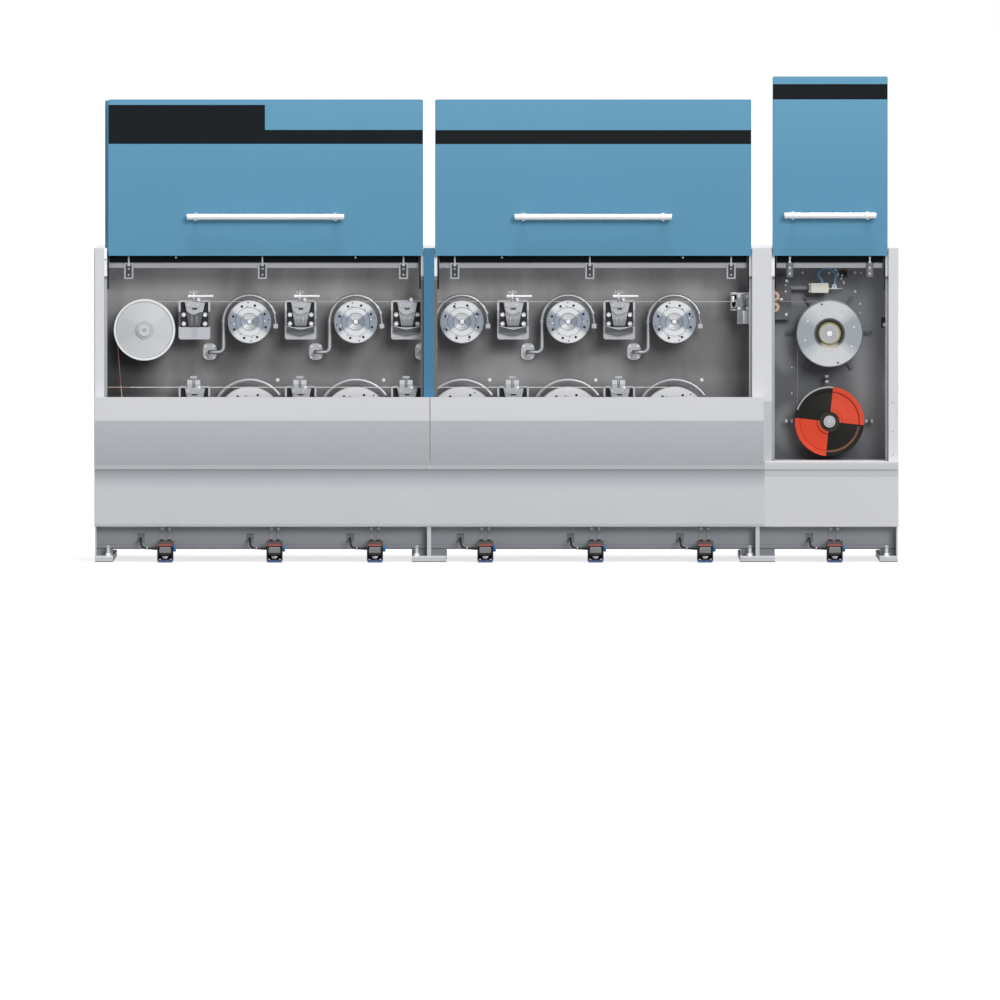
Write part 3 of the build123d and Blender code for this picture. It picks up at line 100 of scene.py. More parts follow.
lightSettings = {
    "front": {"elevation": 19, "azimuth": 16, "spread": 22, "power": 1.7},
    "side": {"elevation": 26, "azimuth": -56, "spread": 40, "power": 0.35},
    "top": {"elevation": 79, "azimuth": 12, "spread": 24, "power": 1.9},
    "rear": {"elevation": 24, "azimuth": 152, "spread": 40, "power": 1.5},
    "world": 0.26,
}


def addSun(name, elevation, azimuth, spread, power):
    data = bpy.data.lights.new(name, "SUN")
    data.energy = power
    data.angle = math.radians(spread)
    lamp = bpy.data.objects.new(name, data)
    bpy.context.collection.objects.link(lamp)
    rise, turn = math.radians(elevation), math.radians(azimuth)
    # azimuth 0 stands in front of the machine, positive towards its right end
    way = Vector((math.sin(turn) * math.cos(rise), -math.cos(turn) * math.cos(rise), math.sin(rise)))
    lamp.location = way * 12
    lamp.rotation_mode = "QUATERNION"
    lamp.rotation_quaternion = (-lamp.location).to_track_quat("-Z", "Y")


for lampName in ("front", "side", "top", "rear"):
    addSun(lampName + "Light", **lightSettings[lampName])


# small helpers for node trees
def feedAll(tree, node, inputs):
    # a socket takes another node's output, a number, a vector or a colour
    for label, value in inputs.items():
        socket = node.inputs[label]
        if isinstance(value, bpy.types.NodeSocket):
            tree.links.new(value, socket)
        elif isinstance(value, tuple) and len(socket.default_value) > len(value):
            socket.default_value = (*value, 1)
        else:
            socket.default_value = value


def addNode(tree, kind, inputs, **properties):
    node = tree.nodes.new("ShaderNode" + kind)
    for label, value in properties.items():
        setattr(node, label, value)
    feedAll(tree, node, inputs)
    return node


def mathNode(tree, operation, *values):
    return addNode(tree, "Math", dict(enumerate(values)), operation=operation).outputs[0]


def within(tree, value, low, high):
    # 1 where a value lies between two others, 0 elsewhere
    above = mathNode(tree, "GREATER_THAN", value, low)
    return mathNode(tree, "MULTIPLY", above, mathNode(tree, "LESS_THAN", value, high))


def rangeNode(tree, value, fromLow, fromHigh, toLow=0.0, toHigh=1.0, curve="SMOOTHSTEP"):
    limits = {"From Min": fromLow, "From Max": fromHigh, "To Min": toLow, "To Max": toHigh}
    return addNode(tree, "MapRange", {"Value": value, **limits}, interpolation_type=curve).outputs[0]


def mixColour(tree, factor, first, second):
    return addNode(tree, "Mix", {0: factor, 6: first, 7: second}, data_type="RGBA").outputs[2]


def clampNode(tree, value):
    return addNode(tree, "Clamp", {"Value": value}).outputs[0]


def splitVector(tree, vector):
    return addNode(tree, "SeparateXYZ", {0: vector}).outputs


def joinVector(tree, x, y=0.0, z=0.0):
    return addNode(tree, "CombineXYZ", {"X": x, "Y": y, "Z": z}).outputs[0]


def noiseNode(tree, vector, scale, detail):
    return addNode(tree, "TexNoise", {"Vector": vector, "Scale": scale, "Detail": detail}).outputs["Fac"]


def bumpNode(tree, height, depth, distance):
    return addNode(tree, "Bump", {"Height": height, "Strength": depth, "Distance": distance}).outputs[0]


def seenRays(tree):
    # camera, glossy and transmission rays see the plain white studio
    path = addNode(tree, "LightPath", {}).outputs
    direct = mathNode(tree, "MAXIMUM", path["Is Camera Ray"], path["Is Transmission Ray"])
    return mathNode(tree, "MAXIMUM", direct, path["Is Glossy Ray"])


def startMaterial(name):
    material = bpy.data.materials.new(name)
    material.use_nodes = True
    tree = material.node_tree
    tree.nodes.clear()
    shader = addNode(tree, "BsdfPrincipled", {})
    addNode(tree, "OutputMaterial", {"Surface": shader.outputs[0]})
    return material, tree, shader, addNode(tree, "TexCoord", {}).outputs["Object"]


def startEffect(name, inputs, outputs):
    # every effect has a Vector input, and a tuple stands for one more vector
    group = bpy.data.node_groups.new(name, "ShaderNodeTree")
    group.interface.new_socket("Vector", in_out="INPUT", socket_type="NodeSocketVector")
    for label, default in inputs.items():
        kind = "NodeSocketVector" if isinstance(default, tuple) else "NodeSocketFloat"
        group.interface.new_socket(label, in_out="INPUT", socket_type=kind).default_value = default
    for label in outputs:
        kind = "NodeSocketVector" if label == "Normal" else "NodeSocketFloat"
        group.interface.new_socket(label, in_out="OUTPUT", socket_type=kind)
    return group, group.nodes.new("NodeGroupInput").outputs, group.nodes.new("NodeGroupOutput")


def placeEffect(tree, group, vector, **values):
    return addNode(tree, "Group", {"Vector": vector, **values}, node_tree=group).outputs


world = bpy.data.worlds.new("studioWorld")
bpy.context.scene.world = world
world.use_nodes = True
worldTree = world.node_tree
worldTree.nodes.clear()
worldStrength = rangeNode(worldTree, seenRays(worldTree), 0.0, 1.0, lightSettings["world"], 1.0, "LINEAR")
worldBack = addNode(worldTree, "Background", {"Color": (1, 1, 1), "Strength": worldStrength})
addNode(worldTree, "OutputWorld", {"Surface": worldBack.outputs[0]})
print("camera and lights set")


def rgb(red, green, blue):
    # 0-255 screen colour to scene colour
    def one(value):
        value = value / 255
        return value / 12.92 if value <= 0.04045 else ((value + 0.055) / 1.055) ** 2.4
    return (one(red), one(green), one(blue))


# effects shared by several materials
def buildGrainEffect():
    # long brushed scratches: a value and a normal
    group, given, sink = startEffect(
        "brushedGrain", {"Across": 900.0, "Along": 6.0, "Depth": 0.08, "Upright": 0.0}, ("Grain", "Normal"),
    )
    place = splitVector(group, given["Vector"])
    scaled = {}
    for axis, flat, upright in (("X", "Along", "Across"), ("Z", "Across", "Along")):
        scale = addNode(group, "Mix", {0: given["Upright"], 2: given[flat], 3: given[upright]}).outputs[0]
        scaled[axis] = mathNode(group, "MULTIPLY", place[axis], scale)
    grain = noiseNode(group, joinVector(group, scaled["X"], place["Y"], scaled["Z"]), 1.0, 3.0)
    feedAll(group, sink, {"Grain": grain, "Normal": bumpNode(group, grain, given["Depth"], 0.001)})
    return group


def buildCloudEffect():
    # slow cloudy change of tone, stretched along Z by a factor
    group, given, sink = startEffect("cloudyTone", {"Scale": 3.0, "Contrast": 1.0, "Rise": 1.0}, ("Tone",))
    place = splitVector(group, given["Vector"])
    stretched = joinVector(group, place["X"], place["Y"], mathNode(group, "MULTIPLY", place["Z"], given["Rise"]))
    centred = mathNode(group, "SUBTRACT", noiseNode(group, stretched, given["Scale"], 4.0), 0.5)
    shifted = mathNode(group, "MULTIPLY_ADD", centred, given["Contrast"], 0.5)
    feedAll(group, sink, {"Tone": clampNode(group, shifted)})
    return group


def buildPeelEffect():
    # fine orange peel of sprayed paint
    group, given, sink = startEffect("orangePeel", {"Scale": 260.0, "Depth": 0.05}, ("Normal",))
    peel = noiseNode(group, given["Vector"], given["Scale"], 2.0)
    feedAll(group, sink, {"Normal": bumpNode(group, peel, given["Depth"], 0.0006)})
    return group


def buildTurnedEffect():
    # lathe rings round a centre that repeats along X, and the bow-tie sheen of a turned face, a painted highlight
    # laid into its colour
    highlightStroke = {"slope": 0.5, "half": 0.035, "reach": 0.086, "gain": 0.35}
    group, given, sink = startEffect(
        "turnedRings",
        {
            "CentreX": 0.0, "CentreZ": 0.0, "Pitch": 100.0, "Rings": 700.0, "Depth": 0.15,
            "SheenLow": 0.44, "SheenHigh": 0.80,
        },
        ("Ring", "Sheen", "Radius", "Upward", "Normal"),
    )
    place = splitVector(group, given["Vector"])
    half = mathNode(group, "MULTIPLY", given["Pitch"], 0.5)
    moved = mathNode(group, "ADD", mathNode(group, "SUBTRACT", place["X"], given["CentreX"]), half)
    localX = mathNode(group, "SUBTRACT", mathNode(group, "FLOORED_MODULO", moved, given["Pitch"]), half)
    localZ = mathNode(group, "SUBTRACT", place["Z"], given["CentreZ"])
    upright = mathNode(group, "MULTIPLY", localZ, localZ)
    squares = mathNode(group, "MULTIPLY_ADD", localX, localX, upright)
    radius = mathNode(group, "SQRT", squares)
    ring = noiseNode(group, joinVector(group, mathNode(group, "MULTIPLY", radius, given["Rings"])), 1.0, 2.0)
    # share of the upright part of the direction: 1 above and below the centre, 0 beside it
    share = mathNode(group, "DIVIDE", upright, mathNode(group, "ADD", squares, 0.00002))
    angle = mathNode(group, "ARCTAN2", localZ, localX)
    direction = joinVector(group, mathNode(group, "COSINE", angle), mathNode(group, "SINE", angle))
    ragged = mathNode(group, "MULTIPLY_ADD", noiseNode(group, direction, 3.2, 3.0), 0.5, share)
    sheen = rangeNode(group, ragged, given["SheenLow"], given["SheenHigh"])
    # two painted highlight strokes that lead from the centre to the upper left and right
    offLine = mathNode(group, "ABSOLUTE", mathNode(group, "SUBTRACT", share, highlightStroke["slope"]))
    lit = mathNode(group, "LESS_THAN", offLine, highlightStroke["half"])
    lit = mathNode(group, "MULTIPLY", lit, mathNode(group, "GREATER_THAN", localZ, 0.0))
    lit = mathNode(group, "MULTIPLY", lit, mathNode(group, "LESS_THAN", radius, highlightStroke["reach"]))
    feedAll(group, sink, {
        "Ring": ring,
        "Sheen": mathNode(group, "MULTIPLY_ADD", lit, highlightStroke["gain"], sheen),
        "Radius": radius,
        "Upward": mathNode(group, "DIVIDE", localZ, mathNode(group, "ADD", radius, 0.001)),
        "Normal": bumpNode(group, ring, given["Depth"], 0.0006),
    })
    return group


def buildBoxEffect():
    # 1 inside a box, 0 outside
    group, given, sink = startEffect(
        "insideBox", {"Low": (-9.0, -9.0, -9.0), "High": (9.0, 9.0, 9.0)}, ("Mask",),
    )
    place, low, high = [splitVector(group, given[label]) for label in ("Vector", "Low", "High")]
    mask = 1.0
    for axis in "XYZ":
        mask = mathNode(group, "MULTIPLY", within(group, place[axis], low[axis], high[axis]), mask)
    feedAll(group, sink, {"Mask": mask})
    return group


def buildPatchEffect():
    # a soft oval: 1 at its middle, 0 at its border
    group, given, sink = startEffect(
        "softPatch", {"CentreX": 0.0, "CentreZ": 0.0, "HalfX": 1.0, "HalfZ": 1.0, "Amount": 0.5}, ("Mask",),
    )
    place = splitVector(group, given["Vector"])
    squares = 0.0
    for axis in "XZ":
        shift = mathNode(group, "SUBTRACT", place[axis], given["Centre" + axis])
        share = mathNode(group, "DIVIDE", shift, given["Half" + axis])
        squares = mathNode(group, "MULTIPLY_ADD", share, share, squares)
    fall = rangeNode(group, squares, 1.0, 0.0)
    feedAll(group, sink, {"Mask": mathNode(group, "MULTIPLY", fall, given["Amount"])})
    return group


brushedGrain = buildGrainEffect()
cloudyTone = buildCloudEffect()
orangePeel = buildPeelEffect()
turnedRings = buildTurnedEffect()
insideBox = buildBoxEffect()
softPatch = buildPatchEffect()
print("effects built")


# finishes
def span(x=(-9.0, 9.0), y=(-9.0, 9.0), z=(-9.0, 9.0)):
    # a box of the machine, open where no limits are given
    return (x[0], y[0], z[0]), (x[1], y[1], z[1])


def addZones(tree, coords, colour, zones):
    # a zone is a box of the machine that has another colour
    for (low, high), tint in zones:
        mask = placeEffect(tree, insideBox, coords, Low=low, High=high)["Mask"]
        colour = mixColour(tree, mask, colour, tint)
    return colour


def heightRamp(tree, coords, stops):
    # colour by height above the floor
    lowest, highest = stops[0][0], stops[-1][0]
    height = splitVector(tree, coords)["Z"]
    ramp = addNode(tree, "ValToRGB", {0: rangeNode(tree, height, lowest, highest, curve="LINEAR")})
    elements = ramp.color_ramp.elements
    while len(elements) < len(stops):
        elements.new(0.5)
    for element, (stop, tint) in zip(elements, stops):
        element.position = (stop - lowest) / (highest - lowest)
        element.color = (*tint, 1)
    return ramp.outputs[0]


def baseColour(tree, coords, settings, tone):
    # either a plain pair of tones or a ramp by height that the tone varies a little
    if "ramp" in settings:
        ramped = heightRamp(tree, coords, settings["ramp"])
        deeper = mixColour(tree, settings["vary"], ramped, (0.0, 0.0, 0.0))
        colour = mixColour(tree, tone, deeper, ramped)
    else:
        colour = mixColour(tree, tone, settings["dark"], settings["light"])
    # soft patches paint light and shade onto the colour
    for (x, z), (halfX, halfZ), amount, tint in settings.get("lightAndShadePatches", ()):
        patch = placeEffect(
            tree, softPatch, coords, CentreX=x, CentreZ=z, HalfX=halfX, HalfZ=halfZ, Amount=amount,
        )
        colour = mixColour(tree, patch["Mask"], colour, tint)
    return addZones(tree, coords, colour, settings.get("zones", ()))


paintDefaults = {"cloudScale": 1.4, "vary": 0.16, "peel": 0.05, "roughness": 0.45, "gloss": 0.2}
brushedDefaults = {
    "across": 900.0, "along": 8.0, "depth": 0.1, "upright": 0.0, "cloudScale": 2.2, "cloud": 1.8, "rise": 1.0,
    "grainShare": 0.55, "vary": 0.16, "metallic": 0.5, "gloss": 0.3, "roughness": 0.34,
}
turnedDefaults = {
    "pitch": 100.0, "rings": 900.0, "depth": 0.12, "sheen": (0.44, 0.80), "ringShare": 0.5, "sheenShare": 0.85,
    "metallic": 0.4, "gloss": 0.3, "roughness": 0.34,
}


def makePaint(name, settings):
    settings = paintDefaults | settings
    material, tree, shader, coords = startMaterial(name)
    tone = placeEffect(tree, cloudyTone, coords, Scale=settings["cloudScale"], Contrast=1.6)["Tone"]
    feedAll(tree, shader, {
        "Base Color": baseColour(tree, coords, settings, tone),
        "Normal": placeEffect(tree, orangePeel, coords, Depth=settings["peel"])["Normal"],
        "Roughness": settings["roughness"], "Specular IOR Level": settings["gloss"],
    })
    return material


def makeBrushed(name, settings):
    settings = brushedDefaults | settings
    material, tree, shader, coords = startMaterial(name)
    grain = placeEffect(
        tree, brushedGrain, coords,
        Across=settings["across"], Along=settings["along"], Depth=settings["depth"], Upright=settings["upright"],
    )
    cloud = placeEffect(
        tree, cloudyTone, coords,
        Scale=settings["cloudScale"], Contrast=settings["cloud"], Rise=settings["rise"],
    )
    share = settings["grainShare"]
    cloudPart = mathNode(tree, "MULTIPLY", cloud["Tone"], 1 - share)
    tone = mathNode(tree, "MULTIPLY_ADD", grain["Grain"], share, cloudPart)
    feedAll(tree, shader, {
        "Base Color": baseColour(tree, coords, settings, tone), "Normal": grain["Normal"],
        "Metallic": settings["metallic"], "Specular IOR Level": settings["gloss"],
        "Roughness": mathNode(tree, "MULTIPLY_ADD", grain["Grain"], 0.14, settings["roughness"]),
    })
    return material


def makeTurned(name, settings):
    settings = turnedDefaults | settings
    material, tree, shader, coords = startMaterial(name)
    centre = settings["centre"]
    rings = placeEffect(
        tree, turnedRings, coords, CentreX=centre.x, CentreZ=centre.z, Pitch=settings["pitch"],
        Rings=settings["rings"], Depth=settings["depth"],
        SheenLow=settings["sheen"][0], SheenHigh=settings["sheen"][1],
    )
    radius = rings["Radius"]
    tone = mathNode(tree, "MULTIPLY_ADD", rings["Ring"], settings["ringShare"], -0.2)
    # the sheen lifts the tone where the turned face carries its painted highlight
    tone = clampNode(tree, mathNode(tree, "MULTIPLY_ADD", rings["Sheen"], settings["sheenShare"], tone))
    colour = mixColour(tree, tone, settings["dark"], settings["light"])
    for inner, outer, tint in settings.get("rims", ()):
        colour = mixColour(tree, within(tree, radius, inner, outer), colour, tint)
    if "dish" in settings:
        # the lower half of a dish faces the lamps, so its paint is a little deeper
        inner, outer, amount, tint = settings["dish"]
        below = mathNode(tree, "MAXIMUM", mathNode(tree, "MULTIPLY", rings["Upward"], -1.0), 0.0)
        below = mathNode(tree, "MULTIPLY", below, amount)
        below = mathNode(tree, "MULTIPLY", below, within(tree, radius, inner, outer))
        colour = mixColour(tree, below, colour, tint)
    if "cone" in settings:
        # a cone is dark round its top and catches the light at its bottom
        inner, outer, shade, lip, glow = settings["cone"]
        fade = rangeNode(tree, radius, inner + (outer - inner) * 0.3, outer)
        glint = rangeNode(tree, rings["Upward"], -0.62, -0.94)
        tint = mixColour(tree, glint, mixColour(tree, fade, shade, lip), glow)
        colour = mixColour(tree, within(tree, radius, inner, outer), colour, tint)
    feedAll(tree, shader, {
        "Base Color": colour, "Normal": rings["Normal"],
        "Metallic": settings["metallic"], "Specular IOR Level": settings["gloss"],
        "Roughness": mathNode(tree, "MULTIPLY_ADD", rings["Ring"], 0.12, settings["roughness"]),
    })
    return material


def dress(material, *names):
    for name in names:
        for slot in nodes[name].material_slots:
            slot.material = material


# sheet metal housing, trays and base
housingPaint = makePaint("lightGreyPaint", {"dark": rgb(214, 215, 219), "light": rgb(220, 221, 225)})
postPaint = makePaint("postPaint", {
    "dark": rgb(212, 213, 217), "light": rgb(218, 219, 223),
    "zones": [(span(x=(1.60, 1.655), z=(0.0, 0.965)), rgb(192, 195, 199))],
})
# trays: the sloped lower face is painted darker than the upright band above it, painted shade of a face that looks
# down
trayPaint = makePaint("trayPaint", {
    "ramp": [
        (0.55, rgb(186, 189, 194)), (0.584, rgb(177, 180, 185)), (0.845, rgb(193, 196, 201)),
        (0.853, rgb(212, 213, 217)), (1.0, rgb(214, 215, 219)),
    ],
    "vary": 0.04,
    "zones": [(span(x=(-0.4015, -0.3950)), rgb(228, 229, 232))],
})
# base: the band up under the trays is painted darker, painted shadow of the trays' overhang
basePaint = makePaint("basePaint", {
    "ramp": [
        (0.0, rgb(176, 179, 183)), (0.216, rgb(178, 181, 184)), (0.238, rgb(198, 201, 204)),
        (0.43, rgb(198, 201, 205)), (0.480, rgb(186, 189, 194)), (0.504, rgb(174, 177, 182)),
        (0.528, rgb(165, 168, 173)), (0.556, rgb(152, 155, 160)), (0.566, rgb(178, 181, 185)),
        (0.61, rgb(168, 171, 176)),
    ],
    "vary": 0.04,
    "zones": [
        (span(x=(1.61, 9.0)), rgb(204, 205, 209)),
        (span(x=(1.61, 9.0), z=(0.512, 0.546)), rgb(188, 190, 194)),
        (span(x=(1.61, 9.0), z=(0.546, 0.558)), rgb(162, 164, 169)),
        (span(x=(1.61, 9.0), z=(0.558, 0.588)), rgb(196, 197, 201)),
        (span(x=(1.61, 9.0), z=(0.600, 0.700)), rgb(238, 238, 240)),
        (span(x=(-2.40, 2.40), y=(-0.489, -0.3), z=(0.0, 0.213)), rgb(118, 120, 124)),
    ],
})
# kick panel: painted lighter towards the top as painted light against the skirt's shadow, with a seam line and a dark
# band along the bottom edge
kickPaint = makePaint("kickGreyPaint", {
    "ramp": [
        (0.07, rgb(138, 141, 146)), (0.150, rgb(146, 149, 154)), (0.160, rgb(150, 153, 158)),
        (0.178, rgb(168, 171, 176)), (0.216, rgb(204, 207, 212)),
    ],
    "vary": 0.04,
    "zones": [
        (span(z=(0.0995, 0.1045)), rgb(128, 131, 136)),
        (span(z=(0.0, 0.0825)), rgb(92, 94, 98)),
    ],
})
# feet: a painted highlight line across the foot plates and painted shade along the floor
footPaint = makePaint("footPaint", {
    "dark": rgb(188, 190, 194), "light": rgb(196, 198, 202),
    "zones": [
        (span(z=(0.0295, 0.0362)), rgb(224, 225, 229)),
        (span(z=(0.0, 0.0050)), rgb(98, 101, 105)),
        (span(y=(-0.4905, -0.4775), z=(0.0365, 0.0755)), rgb(132, 135, 140)),
    ],
})
bluePaint = makePaint("bluePostPaint", {
    "dark": rgb(66, 121, 155), "light": rgb(72, 126, 160), "gloss": 0.14,
})
dress(postPaint, "frame_posts")
dress(housingPaint, "end_walls", "rear_housing", "roof_panel", "access_panels", "partition_wall")
dress(trayPaint, "front_trays")
dress(basePaint, "base_frame", "base_skirt")
dress(kickPaint, "kick_panel")
dress(footPaint, "cross_feet")
dress(bluePaint, "middle_post")

# guards: blue sheet with a painted light gradient that lightens upwards, with black bands on the front
doorFront = (-0.571, -0.5685)
bandBlack = rgb(17, 22, 25)
doorPaint = makePaint("doorPaint", {
    "ramp": [
        (1.84, rgb(94, 151, 182)), (2.00, rgb(96, 152, 183)), (2.30, rgb(98, 154, 186)),
        (2.70, rgb(106, 163, 194)), (2.92, rgb(109, 167, 198)),
    ],
    "vary": 0.05, "gloss": 0.08,
    "zones": [
        (span(z=(0.0, 1.8375)), rgb(44, 48, 52)),
        (span(x=(-2.33, -1.388), y=doorFront, z=(2.509, 2.743)), bandBlack),
        (span(x=(-1.388, -0.44), y=doorFront, z=(2.509, 2.593)), bandBlack),
        (span(x=(-0.38, 1.54), y=doorFront, z=(2.508, 2.592)), bandBlack),
        (span(x=(1.64, 2.36), y=doorFront, z=(2.776, 2.868)), bandBlack),
    ],
})
handleSteel = makeBrushed("handleSteel", {
    "dark": rgb(196, 197, 200), "light": rgb(228, 229, 232),
    "across": 300.0, "along": 6.0, "roughness": 0.2, "metallic": 0.75,
})
dress(doorPaint, "left_door", "middle_door", "right_door")
dress(handleSteel, "left_door_handle", "middle_door_handle", "right_door_handle")

# header, seals and bright strips
railPaint = makePaint("railPaint", {
    "dark": rgb(166, 167, 170), "light": rgb(178, 179, 182),
    "zones": [
        (span(y=(-0.53, -0.5015)), rgb(184, 185, 188)),
        (span(x=(-9.0, 1.6), y=(-0.5053, -0.503), z=(1.70, 1.7945)), rgb(64, 66, 68)),
        (span(y=(-0.53, -0.509)), rgb(206, 207, 210)),
        (span(x=(1.6, 9.0), y=(-0.53, -0.501), z=(1.70, 1.7945)), rgb(128, 130, 133)),
    ],
})
sealRubber = makePaint("sealRubber", {
    "dark": rgb(8, 9, 10), "light": rgb(14, 15, 16), "roughness": 0.8, "gloss": 0.1,
})
# runner strips: pale paint with painted light near white at the top, a dark painted shadow band under the header and
# a painted falloff downwards
stripSteel = makeBrushed("stripSteel", {
    "ramp": [
        (0.2, rgb(150, 153, 158)), (1.2, rgb(164, 167, 171)), (1.60, rgb(176, 178, 182)),
        (1.695, rgb(176, 178, 182)), (1.70, rgb(120, 118, 118)), (1.713, rgb(120, 118, 118)),
        (1.718, rgb(250, 250, 252)), (1.95, rgb(250, 250, 252)),
    ],
    "vary": 0.1, "upright": 1.0, "roughness": 0.4, "metallic": 0.2,
    "zones": [(span(x=(-0.47, -0.33), z=(0.2, 1.695)), rgb(112, 106, 102))],
})
dress(railPaint, "header_rails")
dress(sealRubber, "header_seals")
dress(stripSteel, "runner_strips")

# walls: painted shadows under each capstan and the inlet pulley, painted light in the middle bay, and a ramp painted
# lighter up under the header against its shade
wallSteel = makeBrushed("wallSteel", {
    "ramp": [
        (0.6, rgb(120, 120, 121)), (1.0, rgb(140, 140, 141)), (1.10, rgb(146, 146, 147)),
        (1.18, rgb(130, 130, 131)), (1.45, rgb(134, 134, 135)), (1.56, rgb(172, 171, 170)),
        (1.624, rgb(196, 195, 193)), (1.628, rgb(190, 191, 192)), (1.72, rgb(208, 209, 210)),
        (1.78, rgb(204, 205, 207)),
    ],
    "lightAndShadePatches": [
        *[((centre.x - 0.15, 1.215), (0.19, 0.14), 0.30, rgb(50, 51, 53)) for centre in upperCentres],
        ((-2.30, 1.12), (0.34, 0.32), 0.80, rgb(34, 35, 37)),
        ((0.10, 1.14), (0.30, 0.14), 0.35, rgb(186, 186, 187)),
        ((0.62, 1.14), (0.22, 0.12), 0.25, rgb(186, 186, 187)),
    ],
    "vary": 0.46, "upright": 1.0, "across": 200.0, "along": 2.0, "roughness": 0.5, "metallic": 0.25,
    "grainShare": 0.28, "cloudScale": 5.0, "cloud": 2.4, "rise": 0.35, "gloss": 0.15,
})
# finishing panel: darker towards the bottom, with lighter patches of painted light against the shadows of the post
# and the capstans
panelSteel = makeBrushed("finishingPanel", {
    "ramp": [
        (0.6, rgb(94, 96, 99)), (0.9, rgb(104, 106, 109)), (1.2, rgb(112, 115, 118)),
        (1.5, rgb(132, 135, 139)), (1.62, rgb(148, 151, 154)), (1.78, rgb(158, 160, 163)),
    ],
    "lightAndShadePatches": [
        ((2.34, 1.15), (0.26, 0.80), 0.55, rgb(190, 193, 197)),
        ((1.77, 1.27), (0.14, 0.18), 0.45, rgb(176, 179, 183)),
        ((1.77, 0.80), (0.14, 0.18), 0.45, rgb(170, 173, 177)),
    ],
    "vary": 0.2, "across": 120.0, "along": 60.0, "roughness": 0.55, "metallic": 0.2,
    "depth": 0.04, "gloss": 0.12,
})
dress(wallSteel, "process_wall", "bearing_housings")
dress(panelSteel, "finishing_wall")

# turned faces
turnedTones = {"dark": rgb(124, 133, 145), "light": rgb(206, 207, 209)}
stagePitch = (upperCentres[-1].x - upperCentres[0].x) / 4
upperTurned = makeTurned("upperCapstanSteel", {
    **turnedTones, "centre": upperCentres[0], "pitch": stagePitch,
    "dish": (0.0180, 0.0500, 0.6, rgb(110, 112, 116)),
    # the two darker rims paint shade into the grooves round the hub
    "rims": [
        (0.0375, 0.0390, rgb(142, 147, 153)), (0.0495, 0.0525, rgb(148, 152, 158)),
        (0.1268, 0.1310, rgb(214, 215, 217)),
    ],
})
lowerTurned = makeTurned("lowerCapstanSteel", {**turnedTones, "centre": lowerCentres[0], "pitch": stagePitch})
inletTurned = makeTurned("inletAluminium", {
    "centre": inletCentre, "dark": rgb(198, 201, 204), "light": rgb(219, 220, 223),
    "roughness": 0.5, "metallic": 0.2, "depth": 0.05, "sheenShare": 0.3,
    # the pale outer rim is a painted highlight
    "rims": [
        (0.0375, 0.0402, rgb(136, 139, 143)), (0.0498, 0.0525, rgb(164, 167, 170)),
        (0.172, 0.188, rgb(236, 237, 239)),
    ],
})
finishTurned = makeTurned("finishingSteel", {
    "centre": finishCentre, "dark": rgb(140, 148, 154), "light": rgb(192, 193, 194),
    "rings": 500.0, "ringShare": 0.3, "sheen": (0.30, 1.0),
    "rims": [
        (0.0, 0.0600, rgb(158, 160, 162)), (0.0182, 0.0215, rgb(96, 98, 101)),
        (0.0340, 0.0352, rgb(130, 132, 135)),
        (0.0600, 0.0688, rgb(96, 90, 56)), (0.104, 0.1055, rgb(150, 152, 156)),
    ],
    "cone": (0.0686, 0.0942, rgb(84, 87, 91), rgb(150, 153, 157), rgb(240, 238, 228)),
})
dress(upperTurned, *[f"upper_capstan_{number}" for number in stageNumbers])
dress(lowerTurned, *[f"lower_capstan_{number}" for number in stageNumbers])
dress(inletTurned, "inlet_pulley", "return_roller")
dress(finishTurned, "finishing_capstan")


def makeQuadrants():
    # red and black quarters round the return pulley's centre
    quarter = {
        "turn": math.radians(6), "red": rgb(222, 77, 50), "black": rgb(25, 25, 21),
        "hub": 0.0595, "hubTint": rgb(54, 53, 46), "lip": (0.172, 0.184), "copper": rgb(132, 92, 72),
        "grooves": ((0.0765, 0.0790), (0.1755, 0.1785)), "groove": 0.6,
        "edge": (0.2022, 0.2100), "rimHighlight": rgb(190, 192, 195),
    }
    material, tree, shader, coords = startMaterial("quarteredPaint")
    mapping = addNode(tree, "Mapping", {"Vector": coords}, vector_type="POINT")
    turned = Matrix.Rotation(-quarter["turn"], 3, "Y") @ Vector((returnCentre.x, 0, returnCentre.z))
    mapping.inputs["Rotation"].default_value = (0, -quarter["turn"], 0)
    mapping.inputs["Location"].default_value = -turned
    place = splitVector(tree, mapping.outputs[0])
    squares = mathNode(tree, "MULTIPLY", place["Z"], place["Z"])
    radius = mathNode(tree, "SQRT", mathNode(tree, "MULTIPLY_ADD", place["X"], place["X"], squares))
    redMask = mathNode(tree, "GREATER_THAN", mathNode(tree, "MULTIPLY", place["X"], place["Z"]), 0.0)
    redMask = mathNode(tree, "MULTIPLY", redMask, mathNode(tree, "GREATER_THAN", radius, quarter["hub"]))
    colour = mixColour(tree, redMask, quarter["black"], quarter["red"])
    for groove in quarter["grooves"]:
        shadow = mathNode(tree, "MULTIPLY", within(tree, radius, *groove), quarter["groove"])
        colour = mixColour(tree, shadow, colour, quarter["black"])
    # bare copper inside the rim of the lower right quarter, and a painted highlight along the edge of the upper left
    # one
    right = mathNode(tree, "GREATER_THAN", place["X"], 0.0)
    low = mathNode(tree, "LESS_THAN", place["Z"], -0.01)
    arc = mathNode(tree, "MULTIPLY", within(tree, radius, *quarter["lip"]), mathNode(tree, "MULTIPLY", right, low))
    colour = mixColour(tree, arc, colour, quarter["copper"])
    left = mathNode(tree, "LESS_THAN", place["X"], 0.0)
    high = mathNode(tree, "GREATER_THAN", place["Z"], 0.05)
    edge = mathNode(tree, "MULTIPLY", within(tree, radius, *quarter["edge"]), mathNode(tree, "MULTIPLY", left, high))
    colour = mixColour(tree, edge, colour, quarter["rimHighlight"])
    inHub = mathNode(tree, "LESS_THAN", radius, quarter["hub"])
    feedAll(tree, shader, {
        "Base Color": mixColour(tree, inHub, colour, quarter["hubTint"]),
        "Normal": placeEffect(tree, orangePeel, coords, Depth=0.06)["Normal"],
        "Roughness": 0.4, "Specular IOR Level": 0.12,
    })
    return material


quarteredPaint = makeQuadrants()
dress(quarteredPaint, "return_pulley")

